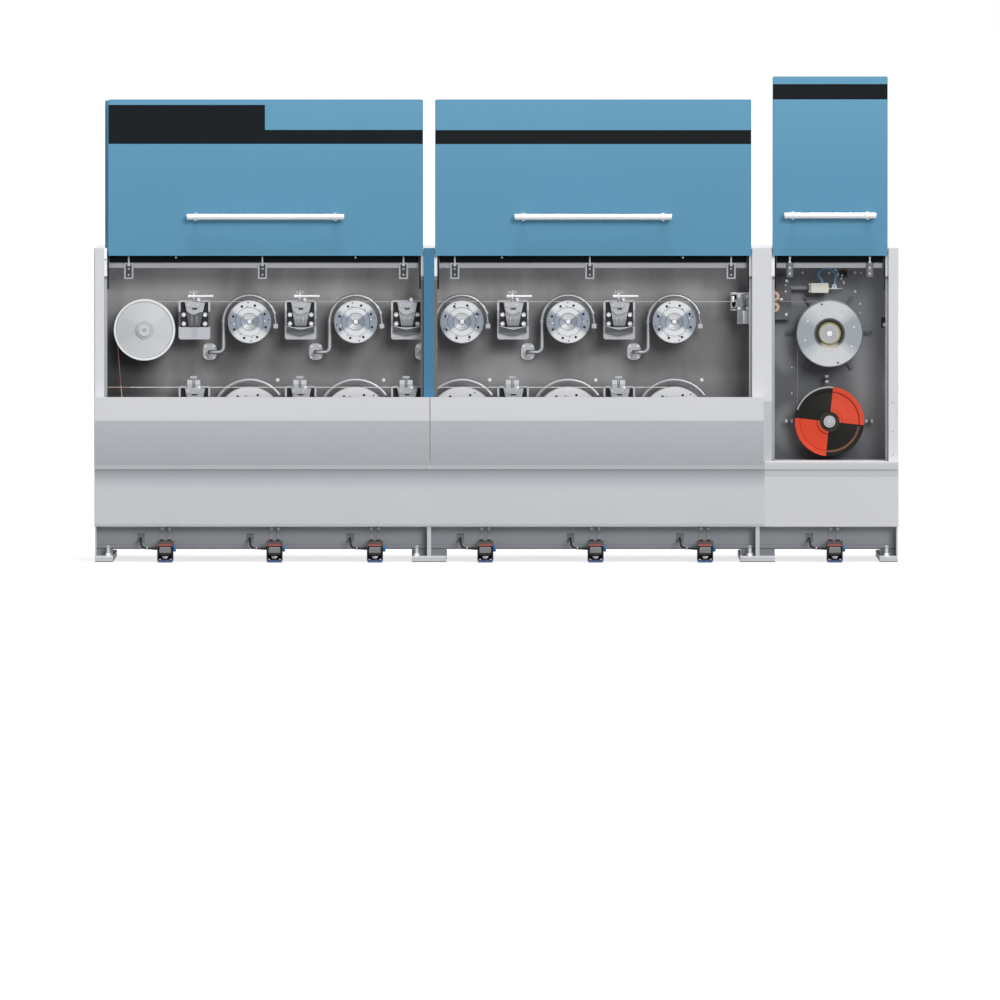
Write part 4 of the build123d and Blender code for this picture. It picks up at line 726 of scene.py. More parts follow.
# pipes, die holders and wires
pipeSteel = makeBrushed("pipeSteel", {
    "dark": rgb(146, 148, 152), "light": rgb(186, 188, 192),
    "across": 500.0, "along": 40.0, "roughness": 0.3, "metallic": 0.5,
})
recessDepth = (-0.3515, -0.3402)
wedgeDepth = (-0.3685, -0.3472)
trayDepth = (-0.386, -0.3575)
plateDepth = (-0.3575, -0.3545)
leverDepth = (-0.391, -0.3572)
# die holders: the levers painted near white as painted highlight, brighter on the upper row, and the drip trays
# painted dark as painted shadow
holderSteel = makeBrushed("holderSteel", {
    "dark": rgb(140, 142, 146), "light": rgb(184, 186, 190),
    "across": 60.0, "along": 14.0, "upright": 1.0, "roughness": 0.34, "metallic": 0.4, "depth": 0.05,
    "zones": [
        (span(y=recessDepth), rgb(24, 25, 27)),
        (span(y=leverDepth, z=(upperWire + 0.020, upperWire + 0.050)), rgb(242, 243, 245)),
        (span(y=leverDepth, z=(lowerWire + 0.022, lowerWire + 0.047)), rgb(184, 187, 190)),
        *[zone for wireZ in (upperWire, lowerWire) for zone in (
            (span(y=wedgeDepth, z=(wireZ - 0.151, wireZ - 0.105)), rgb(122, 124, 128)),
            (span(y=wedgeDepth, z=(wireZ - 0.105, wireZ - 0.052)), rgb(144, 146, 150)),
            (span(y=wedgeDepth, z=(wireZ - 0.052, wireZ - 0.007)), rgb(178, 180, 184)),
            (span(x=(-9.0, -1.7), y=wedgeDepth, z=(wireZ - 0.151, wireZ - 0.062)), rgb(82, 84, 87)),
            (span(x=(-9.0, -1.7), y=plateDepth, z=(wireZ - 0.225, wireZ - 0.158)), rgb(172, 174, 179)),
            (span(x=(-1.836, -1.794), y=plateDepth, z=(wireZ - 0.215, wireZ - 0.158)), rgb(164, 167, 174)),
            (span(x=(-1.826, -1.806), y=plateDepth, z=(wireZ - 0.215, wireZ - 0.158)), rgb(158, 161, 170)),
            (span(y=trayDepth, z=(wireZ - 0.215, wireZ - 0.184)), rgb(92, 94, 97)),
            (span(y=trayDepth, z=(wireZ - 0.184, wireZ - 0.142)), rgb(70, 72, 75)),
        )],
    ],
})
# exit guide steel: its right end is painted lighter, painted light against the post's shadow
guideSteel = makeBrushed("guideSteel", {
    "dark": rgb(136, 139, 143), "light": rgb(160, 163, 167), "roughness": 0.4, "metallic": 0.4,
    "zones": [
        (span(z=(upperWire + 0.044, 9.0)), rgb(176, 178, 181)),
        (span(z=(0.0, upperWire - 0.055)), rgb(134, 137, 140)),
        (span(z=(0.0, upperWire - 0.125)), rgb(158, 161, 164)),
        (span(x=(1.4815, 1.53), y=(-0.36, -0.33)), rgb(222, 224, 228)),
    ],
})
wireCopper = makeBrushed("wireCopper", {
    "dark": rgb(202, 198, 193), "light": rgb(220, 216, 211),
    "across": 90.0, "along": 40.0, "roughness": 0.32, "metallic": 0.3,
    "zones": [
        (span(x=(-9.0, 1.6), z=(1.030, 1.056)), rgb(250, 244, 241)),
        (span(x=(-9.0, -2.2), z=(1.030, 1.056)), rgb(206, 184, 170)),
        (span(x=(-9.0, -1.95), z=(1.056, 1.50)), rgb(150, 112, 98)),
        (span(x=(1.6, 2.0), z=(1.5, 1.6)), rgb(158, 156, 157)),
        (span(x=(2.205, 2.4), z=(1.0, 1.44)), rgb(128, 128, 172)),
        (span(x=(1.6, 2.2), z=(0.7, 1.44)), rgb(160, 136, 140)),
    ],
})
rollerCopper = makeBrushed("rollerCopper", {
    "dark": rgb(186, 130, 100), "light": rgb(214, 162, 132),
    "across": 90.0, "along": 40.0, "roughness": 0.32, "metallic": 0.4,
})
dress(pipeSteel, "upper_spray_pipes", "lower_spray_pipes")
dress(holderSteel, "upper_die_holders", "lower_die_holders")
dress(guideSteel, "exit_guide")
dress(wireCopper, "drawing_wires")
dress(rollerCopper, "upper_guide_roller", "lower_guide_roller")

# small fittings
darkPaint = makePaint("fittingPaint", {
    "dark": rgb(44, 45, 48), "light": rgb(58, 59, 62), "roughness": 0.5,
})
bracketPaint = makePaint("bracketPaint", {
    "dark": rgb(102, 105, 109), "light": rgb(114, 117, 121),
    "zones": [(span(y=(-0.35, -0.335)), rgb(40, 40, 42))],
})
# stand-offs round the return pulley: shift, half size of the block and of its waist
standoffs = (
    (-0.014, 0.254, (0.014, 0.026), (0.014, 0.008)),
    (-0.241, 0.0, (0.026, 0.014), (0.008, 0.014)),
    (0.241, 0.0, (0.026, 0.014), (0.008, 0.014)),
)


def standoffZone(dx, dz, half):
    x, z = returnCentre.x + dx, returnCentre.z + dz
    return span(x=(x - half[0], x + half[0]), y=(-0.30, -0.205), z=(z - half[1], z + half[1]))


wallPaint = makePaint("wallFittingPaint", {
    "dark": rgb(34, 35, 38), "light": rgb(44, 45, 48),
    "zones": [
        (span(y=(-0.168, -0.13), z=(1.05, 1.64)), rgb(110, 113, 117)),
        *[(standoffZone(dx, dz, block), rgb(206, 208, 211)) for dx, dz, block, waist in standoffs],
        *[(standoffZone(dx, dz, waist), rgb(74, 76, 79)) for dx, dz, block, waist in standoffs],
    ],
})
sensorShell = makePaint("sensorShell", {
    "dark": rgb(242, 241, 230), "light": rgb(248, 247, 238), "peel": 0.02,
    "zones": [(span(x=(-9.0, 1.8933)), rgb(158, 161, 165)), (span(y=(-0.2035, 9.0)), rgb(60, 62, 64))],
})
sensorCable = makePaint("sensorCable", {
    "dark": rgb(214, 215, 217), "light": rgb(236, 237, 239), "peel": 0.02,
    "zones": [(span(z=(1.6475, 2.0)), rgb(128, 190, 244))],
})
leadRubber = makePaint("leadRubber", {
    "dark": rgb(14, 14, 15), "light": rgb(24, 24, 26), "roughness": 0.6,
})
switchPaint = makePaint("switchPaint", {
    "dark": rgb(20, 20, 22), "light": rgb(30, 30, 32), "roughness": 0.45,
    "zones": [
        (span(z=(0.0, 0.0180)), rgb(78, 98, 136)),
        (span(y=(-0.502, -0.47)), rgb(150, 152, 156)),
    ],
})
treadlePlastic = makePaint("treadleGrey", {
    "dark": rgb(122, 124, 126), "light": rgb(138, 140, 142), "roughness": 0.5,
    "zones": [
        (span(y=(-0.7546, -0.7525)), rgb(120, 122, 124)),
        (span(y=(-0.7546, -0.7525), z=(0.0, 0.0600)), rgb(26, 25, 24)),
    ],
})
screwSteel = makeBrushed("screwSteel", {
    "dark": rgb(208, 209, 212), "light": rgb(238, 239, 241),
    "roughness": 0.28, "metallic": 0.4, "across": 200.0,
})
dress(bracketPaint, "roller_bracket")
dress(wallPaint, "wall_fittings")
dress(sensorShell, "tension_sensor")
dress(sensorCable, "sensor_leads")
dress(leadRubber, "foot_switch_leads")
dress(switchPaint, "foot_switch_guards")
dress(treadlePlastic, *[f"treadle_{number}" for number in switchNumbers])
dress(screwSteel, "jack_screws")
print("finishes on the frame")


# modelling helpers
frontWays, rightWays, upWays = Vector((0, -1, 0)), Vector((1, 0, 0)), Vector((0, 0, 1))


def startMeshes(count):
    return [bmesh.new() for number in range(count)]


def turnTo(direction, place):
    return Matrix.Translation(place) @ Vector(direction).to_track_quat("Z", "Y").to_matrix().to_4x4()


def softenEdges(bm, edges, amount):
    bmesh.ops.bevel(bm, geom=list(edges), offset=amount, segments=2, profile=0.5, affect="EDGES", material=-1)


def addRod(bm, start, end, radius, endRadius=None, segments=24, soften=0.0):
    start, end = Vector(start), Vector(end)
    made = bmesh.ops.create_cone(
        bm, cap_ends=True, cap_tris=False, segments=segments, radius1=radius,
        radius2=radius if endRadius is None else endRadius, depth=(end - start).length,
        matrix=turnTo(end - start, (start + end) / 2),
    )
    if soften:
        rims = {edge for vert in made["verts"] for edge in vert.link_edges if edge.calc_face_angle(0) > 0.9}
        softenEdges(bm, rims, soften)


def addBlock(bm, low, high, soften=0.0, turn=None):
    low, high = Vector(low), Vector(high)
    place = Matrix.Translation((low + high) / 2)
    if turn is not None:
        place = place @ turn
    made = bmesh.ops.create_cube(bm, size=1.0, matrix=place @ Matrix.Diagonal((*(high - low), 1)))
    if soften:
        softenEdges(bm, {edge for vert in made["verts"] for edge in vert.link_edges}, soften)


def addBlockAt(bm, middle, half, soften=0.0, turn=None):
    middle, half = Vector(middle), Vector(half)
    addBlock(bm, middle - half, middle + half, soften, turn)


def addSocketScrew(bm, place, radius, height):
    # a cap screw that looks to the front: rounded head with a sunk socket
    place = Vector(place)
    tip = place + frontWays * height
    addRod(bm, place, tip, radius, segments=20, soften=radius * 0.16)
    caps = [face for face in bm.faces if (face.calc_center_median() - tip).length < 1e-4]
    bmesh.ops.inset_region(bm, faces=caps, thickness=radius * 0.34)
    for face in caps:
        bmesh.ops.translate(bm, verts=face.verts, vec=frontWays * height * -0.45)


def addHexBolt(bm, place, radius, height, washer=1.5):
    place = Vector(place)
    seat = place + frontWays * height * 0.25
    addRod(bm, place, seat, radius * washer)
    addRod(bm, seat, place + frontWays * height, radius, segments=6, soften=radius * 0.12)


def addRing(bm, place, radius, width, thick, way=frontWays, segments=32):
    # a flat ring made by spinning a small square
    place = Vector(place)
    basis = turnTo(way, place)
    corners = [(radius, 0, 0), (radius + width, 0, 0), (radius + width, 0, thick), (radius, 0, thick)]
    verts = [bm.verts.new(basis @ Vector(corner)) for corner in corners]
    edges = [bm.edges.new((verts[number - 1], verts[number])) for number in range(4)]
    bmesh.ops.spin(
        bm, geom=[*verts, *edges], cent=place, axis=way, dvec=(0, 0, 0),
        angle=math.tau, steps=segments, use_merge=True,
    )


def closePiece(bm, name, material, body="frame", smoothAngle=28):
    bmesh.ops.remove_doubles(bm, verts=bm.verts, dist=1e-6)
    bmesh.ops.recalc_face_normals(bm, faces=bm.faces)
    mesh = bpy.data.meshes.new(name)
    bm.to_mesh(mesh)
    bm.free()
    mesh.set_sharp_from_angle(angle=math.radians(smoothAngle))
    # round caps stay flat, the bands round them are smooth
    mesh.polygons.foreach_set("use_smooth", [len(polygon.vertices) <= 4 for polygon in mesh.polygons])
    mesh.materials.append(material)
    piece = bpy.data.objects.new(name, mesh)
    bpy.context.collection.objects.link(piece)
    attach(piece, body)


def polar(centre, radius, degrees, depth):
    angle = math.radians(degrees)
    return Vector((centre.x + radius * math.cos(angle), depth, centre.z + radius * math.sin(angle)))


# capstans: centre screw; the same screws in two steels, brighter ones as painted highlight and duller ones as painted
# shade; and thin dark discs that paint the shade in the holes
capstanDetail = {
    "face": -0.370, "hubFace": -0.366, "hub": (0.0135, 0.006), "bolt": (0.0075, 0.005),
    "hole": (0.0078, 26.5), "dot": 0.0042, "depth": 0.0006,
    "turns": (-6, 0, 11, -9, 4), "litAngles": (9, 150, 194, 324), "shadedAngles": (53, 104, 240, 286),
    "upper": {
        "screwCircle": 0.0925, "screw": 0.0055, "boltCircle": 0.1026,
        "dotCircle": 0.115, "dotAngles": (11.5, 100, 189, 280.5),
    },
    "lower": {
        "screwCircle": 0.1450, "screw": 0.0075, "boltCircle": 0.158,
        "dotCircle": 0.182, "dotAngles": (54, 144, 236, 326),
    },
}


def dressCapstan(row, number, centre):
    detail, sizes = capstanDetail, capstanDetail[row]
    turn, body = detail["turns"][number - 1], f"{row}_capstan_{number}"
    bright, shadedScrews, dark = startMeshes(3)
    front = Vector((centre.x, detail["hubFace"], centre.z))
    hubRadius, hubHeight = detail["hub"]
    addRod(bright, front, front + frontWays * hubHeight, hubRadius, soften=0.0015)
    addHexBolt(bright, front + frontWays * hubHeight, *detail["bolt"], washer=1.3)
    for screws, angles, height in ((bright, "litAngles", 0.004), (shadedScrews, "shadedAngles", 0.003)):
        for angle in detail[angles]:
            place = polar(centre, sizes["screwCircle"], angle + turn, detail["face"])
            addSocketScrew(screws, place, sizes["screw"], height)
    holeRadius, firstAngle = detail["hole"]
    holes = [(sizes["boltCircle"], firstAngle + 45 * step, holeRadius, 16) for step in range(8)]
    holes += [(sizes["dotCircle"], angle + turn, detail["dot"], 14) for angle in sizes["dotAngles"]]
    for circle, angle, radius, segments in holes:
        hole = polar(centre, circle, angle, detail["face"])
        addRod(dark, hole, hole + frontWays * detail["depth"], radius, segments=segments)
    closePiece(bright, f"{row}CapstanScrews{number}", screwSteel, body)
    closePiece(shadedScrews, f"{row}CapstanShadedScrews{number}", pipeSteel, body)
    closePiece(dark, f"{row}CapstanHoles{number}", leadRubber, body)


for row, centres in (("upper", upperCentres), ("lower", lowerCentres)):
    for number, centre in zip(stageNumbers, centres):
        dressCapstan(row, number, centre)

# inlet pulley nose
noseDetail = {"face": -0.372, "radius": 0.011, "height": 0.005}
nose = bmesh.new()
nosePlace = (inletCentre.x, noseDetail["face"], inletCentre.z)
addSocketScrew(nose, nosePlace, noseDetail["radius"], noseDetail["height"])
closePiece(nose, "inletPulleyBolt", pipeSteel, "inlet_pulley")
print("capstans dressed")

# die holders: pan bolts in the recess, clamp screws, slots painted dark as shade, and bright strips and rods that
# paint highlights on the wedges and along the trays' edges
# places are measured from the wire and from the middle of the holder
dieDetail = {
    "offset": -0.331,
    "recess": -0.347, "boltX": 0.064, "boltZs": (-0.079, -0.133), "bolt": (0.0138, 0.010),
    "clamp": -0.389, "lowerClamp": (0.029, 0.001), "lowerBolt": (0.0065, 0.003),
    "pivot": (0.026, 0.011), "pivotFront": -0.385, "pivotBolt": (0.0055, 0.005),
    "clampXs": (-0.039, 0.019), "clampZ": -0.020, "clampScrew": (0.0045, 0.004),
    "jaw": -0.381, "slotX": (-0.013, 0.016), "slotZ": (-0.048, -0.038), "slotDepth": 0.0012,
    "wedgeGlintXs": (-0.016, 0.014), "wedgeGlintY": (-0.3685, -0.3668), "wedgeGlintZ": (-0.145, -0.072), "groove": 0.002,
    "edgeTop": 0.146, "edgeDip": 0.020, "edgeReach": 0.082, "edgeFront": -0.383, "edge": 0.0026,
}


def dressHolder(cx, wireZ, hasTray):
    detail = dieDetail
    for side in (-1, 1):
        for drop in detail["boltZs"]:
            place = (cx + side * detail["boltX"], detail["recess"], wireZ + drop)
            addSocketScrew(dieBolts, place, *detail["bolt"])
    (dx, dz), front, bolt = detail["pivot"], detail["pivotFront"], detail["pivotBolt"]
    if wireZ == lowerWire:
        (dx, dz), front, bolt = detail["lowerClamp"], detail["clamp"], detail["lowerBolt"]
    addHexBolt(dieBolts, (cx + dx, front, wireZ + dz), *bolt, washer=1.3)
    for dx in detail["clampXs"]:
        addSocketScrew(dieBolts, (cx + dx, detail["clamp"], wireZ + detail["clampZ"]), *detail["clampScrew"])
    # the slot is a thin dark block of painted shade
    (left, right), (low, high) = detail["slotX"], detail["slotZ"]
    slotFront = detail["jaw"] - detail["slotDepth"]
    addBlock(dieSlots, (cx + left, slotFront, wireZ + low), (cx + right, detail["jaw"], wireZ + high))
    # bright strips down the wedge paint its highlight lines
    (front, back), (low, high) = detail["wedgeGlintY"], detail["wedgeGlintZ"]
    for left in detail["wedgeGlintXs"]:
        addBlock(dieHighlights, (cx + left, front, wireZ + low), (cx + left + detail["groove"], back, wireZ + high))
    # a bright rod paints the highlight along the tray's upper edge
    if hasTray:
        top, front = wireZ - detail["edgeTop"], detail["edgeFront"]
        for side in (-1, 1):
            end = (cx + side * detail["edgeReach"], front, top)
            addRod(dieHighlights, (cx, front, top - detail["edgeDip"]), end, detail["edge"], segments=8)


dieBolts, dieSlots, dieHighlights = startMeshes(3)
for wireZ in (upperWire, lowerWire):
    for index, centre in enumerate(upperCentres):
        dressHolder(centre.x + dieDetail["offset"], wireZ, index > 0)
closePiece(dieBolts, "dieHolderBolts", screwSteel)
closePiece(dieSlots, "dieClampSlots", darkPaint)
closePiece(dieHighlights, "dieHighlightStrips", screwSteel)
print("die holders dressed")

# spray pipes: flange bolts and the wall bolts beside the lower capstans
pipeDetail = {
    "offset": -0.242, "fall": 0.184, "flangeFront": -0.152, "spread": (0.026, 0.034), "bolt": (0.006, 0.006),
    "wallX": 0.167, "wallZ": 1.0836, "wallBolt": (0.007, 0.009),
}
flangeBolts = bmesh.new()
for centre in upperCentres:
    flangeX, flangeZ = centre.x + pipeDetail["offset"], centre.z - pipeDetail["fall"]
    spreadX, spreadZ = pipeDetail["spread"]
    for x in (flangeX - spreadX, flangeX + spreadX):
        for z in (flangeZ - spreadZ, flangeZ + spreadZ):
            addHexBolt(flangeBolts, (x, pipeDetail["flangeFront"], z), *pipeDetail["bolt"])
    addHexBolt(flangeBolts, (centre.x + pipeDetail["wallX"], wallFront, pipeDetail["wallZ"]), *pipeDetail["wallBolt"])
closePiece(flangeBolts, "pipeFlangeBolts", screwSteel)

# header: two bolts in each pocket, dots on the seal, bolts and a stud on each guide tube
headerDetail = {
    "xs": (-2.207, -1.404, -0.5575, -0.2495, 0.5615, 1.4095), "boltZs": (1.723, 1.758), "pocket": -0.505,
    "pocketBolt": (0.0068, 0.006), "dotXs": (-1.923, -0.845, 0.034, 1.120), "dotZ": 1.8265,
    "sealFront": -0.512, "dot": (0.0058, 0.004),
    "tubeXs": (1.7615, 2.242), "tubeFront": -0.521, "tubeTop": 1.794, "tubeZs": (1.731, 1.765),
    "tubeBolt": (0.006, 0.004), "stud": 0.0046, "studTop": 0.040,
    "nuts": ((0.0, 0.009, 0.009), (0.028, 0.036, 0.0085)),
}
bracketBolts, pocketBolts = startMeshes(2)
for x in headerDetail["xs"]:
    for z in headerDetail["boltZs"]:
        addSocketScrew(pocketBolts, (x, headerDetail["pocket"], z), *headerDetail["pocketBolt"])
for x in headerDetail["dotXs"]:
    addSocketScrew(bracketBolts, (x, headerDetail["sealFront"], headerDetail["dotZ"]), *headerDetail["dot"])
for x in headerDetail["tubeXs"]:
    for z in headerDetail["tubeZs"]:
        addSocketScrew(bracketBolts, (x, headerDetail["tubeFront"], z), *headerDetail["tubeBolt"])
    stud = Vector((x, headerDetail["tubeFront"], headerDetail["tubeTop"]))
    addRod(bracketBolts, stud, stud + upWays * headerDetail["studTop"], headerDetail["stud"])
    for low, high, radius in headerDetail["nuts"]:
        addRod(bracketBolts, stud + upWays * low, stud + upWays * high, radius, segments=6, soften=0.0008)
closePiece(pocketBolts, "pocketBolts", pipeSteel)
closePiece(bracketBolts, "bracketBolts", screwSteel)

# rivets on the posts beside the finishing section
rivetDetail = {
    "places": ((1.616, 0.956), (1.632, 0.956), (1.623, 0.783), (1.624, 0.6425)), "shifts": (0.0, 0.7555),
    "face": -0.570, "height": 0.0015, "radius": 0.0048,
}
rivets = bmesh.new()
for x, z in rivetDetail["places"]:
    for shift in rivetDetail["shifts"]:
        place = Vector((x + shift, rivetDetail["face"], z))
        tip = place + frontWays * rivetDetail["height"]
        addRod(rivets, place, tip, rivetDetail["radius"], segments=14, soften=0.0006)
closePiece(rivets, "postRivets", pipeSteel)
print("pipes, header and posts dressed")

# finishing capstan: bolts, brass ring in the recess and the centre
brass = makeBrushed("brassRing", {
    "dark": rgb(120, 112, 62), "light": rgb(156, 146, 88), "roughness": 0.35, "metallic": 0.4,
})
finishDetail = {
    "front": -0.374, "boltCircle": 0.1524, "firstBolt": 15, "bolt": (0.0072, 0.0085),
    "hubRing": (0.050, 0.0025, 0.0012), "hubBolt": (0.0145, 0.006),
    "recessFloor": -0.354, "recessRing": (0.0622, 0.0062, 0.002), "lip": -0.373, "lipRing": (0.0595, 0.0024, 0.0015),
    "markCircle": 0.1824, "markAngles": (105, -74), "markDepths": (-0.3799, -0.3807), "mark": 0.006,
}
finishBolts, finishHub, finishRing, finishMarks = startMeshes(4)
for step in range(8):
    angle = finishDetail["firstBolt"] + 45 * step
    place = polar(finishCentre, finishDetail["boltCircle"], angle, finishDetail["front"])
    addSocketScrew(finishBolts, place, *finishDetail["bolt"])
hub, recess, lip = [
    Vector((finishCentre.x, finishDetail[depth], finishCentre.z)) for depth in ("front", "recessFloor", "lip")
]
addRing(finishHub, hub, *finishDetail["hubRing"], segments=48)
addHexBolt(finishBolts, hub, *finishDetail["hubBolt"], washer=1.25)
addRing(finishRing, recess, *finishDetail["recessRing"], segments=64)
addRing(finishRing, lip, *finishDetail["lipRing"], segments=64)
for angle in finishDetail["markAngles"]:
    back, front = [
        polar(finishCentre, finishDetail["markCircle"], angle, depth) for depth in finishDetail["markDepths"]
    ]
    addRod(finishMarks, back, front, finishDetail["mark"], segments=14)
closePiece(finishBolts, "finishingCapstanBolts", screwSteel, "finishing_capstan")
closePiece(finishHub, "finishingHub", pipeSteel, "finishing_capstan")
closePiece(finishRing, "finishingRing", brass, "finishing_capstan")
closePiece(finishMarks, "finishingMarks", darkPaint, "finishing_capstan")

# return pulley: stepped bright steel hub with a dark line of painted shade round each step
returnDetail = {
    "front": -0.368, "steps": ((0.0, 0.0045, 0.036), (0.0045, 0.0095, 0.024)), "bolt": (0.008, 0.002),
    "lines": ((0.0045, 0.0242), (0.0095, 0.0120)), "line": (0.0024, 0.0006),
}
returnHub, hubLines = startMeshes(2)
hub = Vector((returnCentre.x, returnDetail["front"], returnCentre.z))
for low, high, radius in returnDetail["steps"]:
    addRod(returnHub, hub + frontWays * low, hub + frontWays * high, radius, soften=0.002)
addHexBolt(returnHub, hub + frontWays * high, *returnDetail["bolt"])
for lift, radius in returnDetail["lines"]:
    addRing(hubLines, hub + frontWays * lift, radius, *returnDetail["line"], segments=40)
closePiece(returnHub, "returnPulleyHub", pipeSteel, "return_pulley")
closePiece(hubLines, "returnHubLines", bracketPaint, "return_pulley")

# screws on the finishing wall, the stand-offs' heads and the roller bracket's bolts
screwPlaces = {
    wallFront: (
        (1.844, 1.731, 0.0085), (2.004, 1.728, 0.0075), (2.161, 1.731, 0.0085), (2.196, 1.730, 0.006),
        (2.161, 1.617, 0.0085), (2.192, 1.542, 0.0075), (2.192, 1.488, 0.006), (1.779, 1.159, 0.005),
        (1.779, 1.003, 0.005),
    ),
    -0.216: ((1.7472, 1.682, 0.010), (1.7448, 1.480, 0.010), (1.741, 1.657, 0.006), (1.741, 1.618, 0.006)),
}
wallScrews = bmesh.new()
for depth, places in screwPlaces.items():
    for x, z, radius in places:
        addSocketScrew(wallScrews, (x, depth, z), radius, 0.006)
closePiece(wallScrews, "wallScrews", screwSteel)

# washers on the roller pins and the small eye between the rollers
rollerDetail = {
    "front": -0.346, "offset": 0.0332, "washer": (0.0052, 0.0152, 0.0012), "pin": 0.0066, "pinHeight": 0.0012,
    "eye": ((1.694, -0.236, 0.004), (1.724, -0.216, 0.018)),
}
rollerWashers, rollerDots = startMeshes(2)
for side in (-1, 1):
    height = upperWire + side * rollerDetail["offset"]
    place = Vector((middleOf("upper_guide_roller").x, rollerDetail["front"], height))
    addRing(rollerWashers, place, *rollerDetail["washer"])
    addRod(rollerDots, place, place + frontWays * rollerDetail["pinHeight"], rollerDetail["pin"], segments=16)
addBlock(rollerWashers, *[Vector(corner) + upWays * upperWire for corner in rollerDetail["eye"]], soften=0.002)
closePiece(rollerWashers, "rollerWashers", pipeSteel)
closePiece(rollerDots, "rollerPinEnds", leadRubber)

# tension sensor: end tab with two screws, cable ring, and the ties on the dark clamp
sensorDetail = {
    "tab": ((1.8785, -0.258, 1.611), (1.8930, -0.216, 1.669)), "tabScrews": ((1.8856, 1.662), (1.8856, 1.618)),
    "tabScrew": (0.0056, 0.003), "ring": (2.034, -0.246, 1.648), "ringSize": (0.0085, 0.0050, 0.006),
    "clamp": (2.091, -0.155, 1.722), "tie": (0.012, 0.005, 0.0045), "stop": (2.081, -0.187, 1.714),
    "ties": ((-0.048, 0.026, 40), (-0.034, 0.002, 75), (-0.014, -0.024, 110), (0.0, -0.050, 75)),
}
sensorTies, sensorTab = startMeshes(2)
addRing(sensorTies, sensorDetail["ring"], *sensorDetail["ringSize"], segments=24)
addBlock(sensorTab, *sensorDetail["tab"], soften=0.0015)
for x, z in sensorDetail["tabScrews"]:
    addSocketScrew(sensorTies, (x, sensorDetail["tab"][0][1], z), *sensorDetail["tabScrew"])
for dx, dz, lean in sensorDetail["ties"]:
    middle = Vector(sensorDetail["clamp"]) + Vector((dx, 0, dz))
    lay = Matrix.Rotation(math.radians(lean), 4, "Y")
    addBlockAt(sensorTies, middle, sensorDetail["tie"], soften=0.002, turn=lay)
stop = Vector(sensorDetail["stop"])
addRod(sensorTies, stop, stop + frontWays * 0.002, 0.005)
closePiece(sensorTab, "sensorTab", sensorShell)
closePiece(sensorTies, "sensorTies", screwSteel)

# exit guide: its mouth and drain box to the left, four bolts, the wire ring and the wall eye's nose; the back of the
# mouth is a dark block of painted shade, and two bright bars paint highlights on the top edge and beside the ring
guideLow, guideHigh = boxOf("exit_guide")
guideDetail = {
    "front": -0.345, "back": -0.216, "mouth": 1.408, "body": 1.444, "plate": 0.0078, "gap": 0.0005,
    "boltXs": (1.459, 1.510), "boltZs": (1.519, 1.593), "bolt": (0.006, 0.005),
    "inside": (1.514, 1.598), "insideDepth": 0.004,
    "eye": (2.336, -0.300, 1.420), "eyeReach": 0.014, "eyeRadii": (0.015, 0.010),
    "ring": (1.431, -0.343, 1.546), "ringSize": (0.022, 0.006, 0.008), "ringWay": (-0.75, -0.66, 0),
    "bars": (((1.441, -0.348, 1.602), (1.511, -0.345, 1.610)), ((1.417, -0.349, 1.556), (1.430, -0.345, 1.592))),
}
front, back = guideDetail["front"], guideDetail["back"]
mouth, body, gap = guideDetail["mouth"], guideDetail["body"], guideDetail["gap"]
behind = front + guideDetail["plate"] + 0.0004
guideBlocks = {
    "upperJaw": ((body, behind, 1.5675), (guideLow.x, back, guideHigh.z - 0.001)),
    "lowerJaw": ((body, behind, 1.505), (guideLow.x, back, 1.5505)),
    "frontPlate": ((body, front, 1.504), (guideLow.x + 0.0393, front + guideDetail["plate"], guideHigh.z)),
    "drainBox": ((body + 0.003, front + gap, 1.4245), (1.521, back, 1.5035)),
    "mouthRoof": ((mouth, front, 1.598), (body - gap, back, guideHigh.z + 0.002)),
    "mouthFloor": ((mouth, front, 1.504), (body - gap, back, 1.514)),
    "mouthLip": ((mouth, front + gap, 1.5145), (mouth + 0.008, front + 0.0045, 1.5975)),
}
guideMouth, guideInside, guideBolts = startMeshes(3)
for low, high in guideBlocks.values():
    addBlock(guideMouth, low, high, soften=0.002)
low, high = guideDetail["inside"]
addBlock(guideInside, (mouth, back - guideDetail["insideDepth"], low), (body, back, high), soften=0.001)
for x in guideDetail["boltXs"]:
    for z in guideDetail["boltZs"]:
        addHexBolt(guideBolts, (x, front, z), *guideDetail["bolt"])
eye = Vector(guideDetail["eye"])
addRod(guideBolts, eye, eye + frontWays * guideDetail["eyeReach"], *guideDetail["eyeRadii"], soften=0.002)
addRing(guideBolts, guideDetail["ring"], *guideDetail["ringSize"], way=Vector(guideDetail["ringWay"]), segments=28)
for (low, high), soften in zip(guideDetail["bars"], (0.0012, 0.0015)):
    addBlock(guideBolts, low, high, soften=soften)
closePiece(guideMouth, "exitGuideMouth", guideSteel)
closePiece(guideInside, "exitGuideInside", darkPaint)
closePiece(guideBolts, "guideBolts", screwSteel)
print("finishing section dressed")

# jack screws: threads and a nut on top, round the axis of each screw on the frame
jackDetail = {"firstRing": 0.0555, "pitch": 0.0062, "ring": (0.0115, 0.0018, 0.0026), "nut": (0.014, 0.003, 0.0165)}
jackLow, jackHigh = boxOf("jack_screws")
jackVerts = [vert.co.x for vert in nodes["jack_screws"].data.vertices]
jackThreads = bmesh.new()
for jackX in sorted({round(x, 1) for x in jackVerts}):
    near = [x for x in jackVerts if abs(x - jackX) < 0.09]
    axis = Vector(((min(near) + max(near)) / 2, (jackLow.y + jackHigh.y) / 2, 0))
    for step in range(7):
        height = jackDetail["firstRing"] + step * jackDetail["pitch"]
        addRing(jackThreads, axis + upWays * height, *jackDetail["ring"], way=upWays, segments=24)
    low, high, radius = jackDetail["nut"]
    nutLow, nutHigh = axis + upWays * (jackHigh.z - low), axis + upWays * (jackHigh.z - high)
    addRod(jackThreads, nutLow, nutHigh, radius, segments=6, soften=0.001)
closePiece(jackThreads, "jackThreads", pipeSteel)

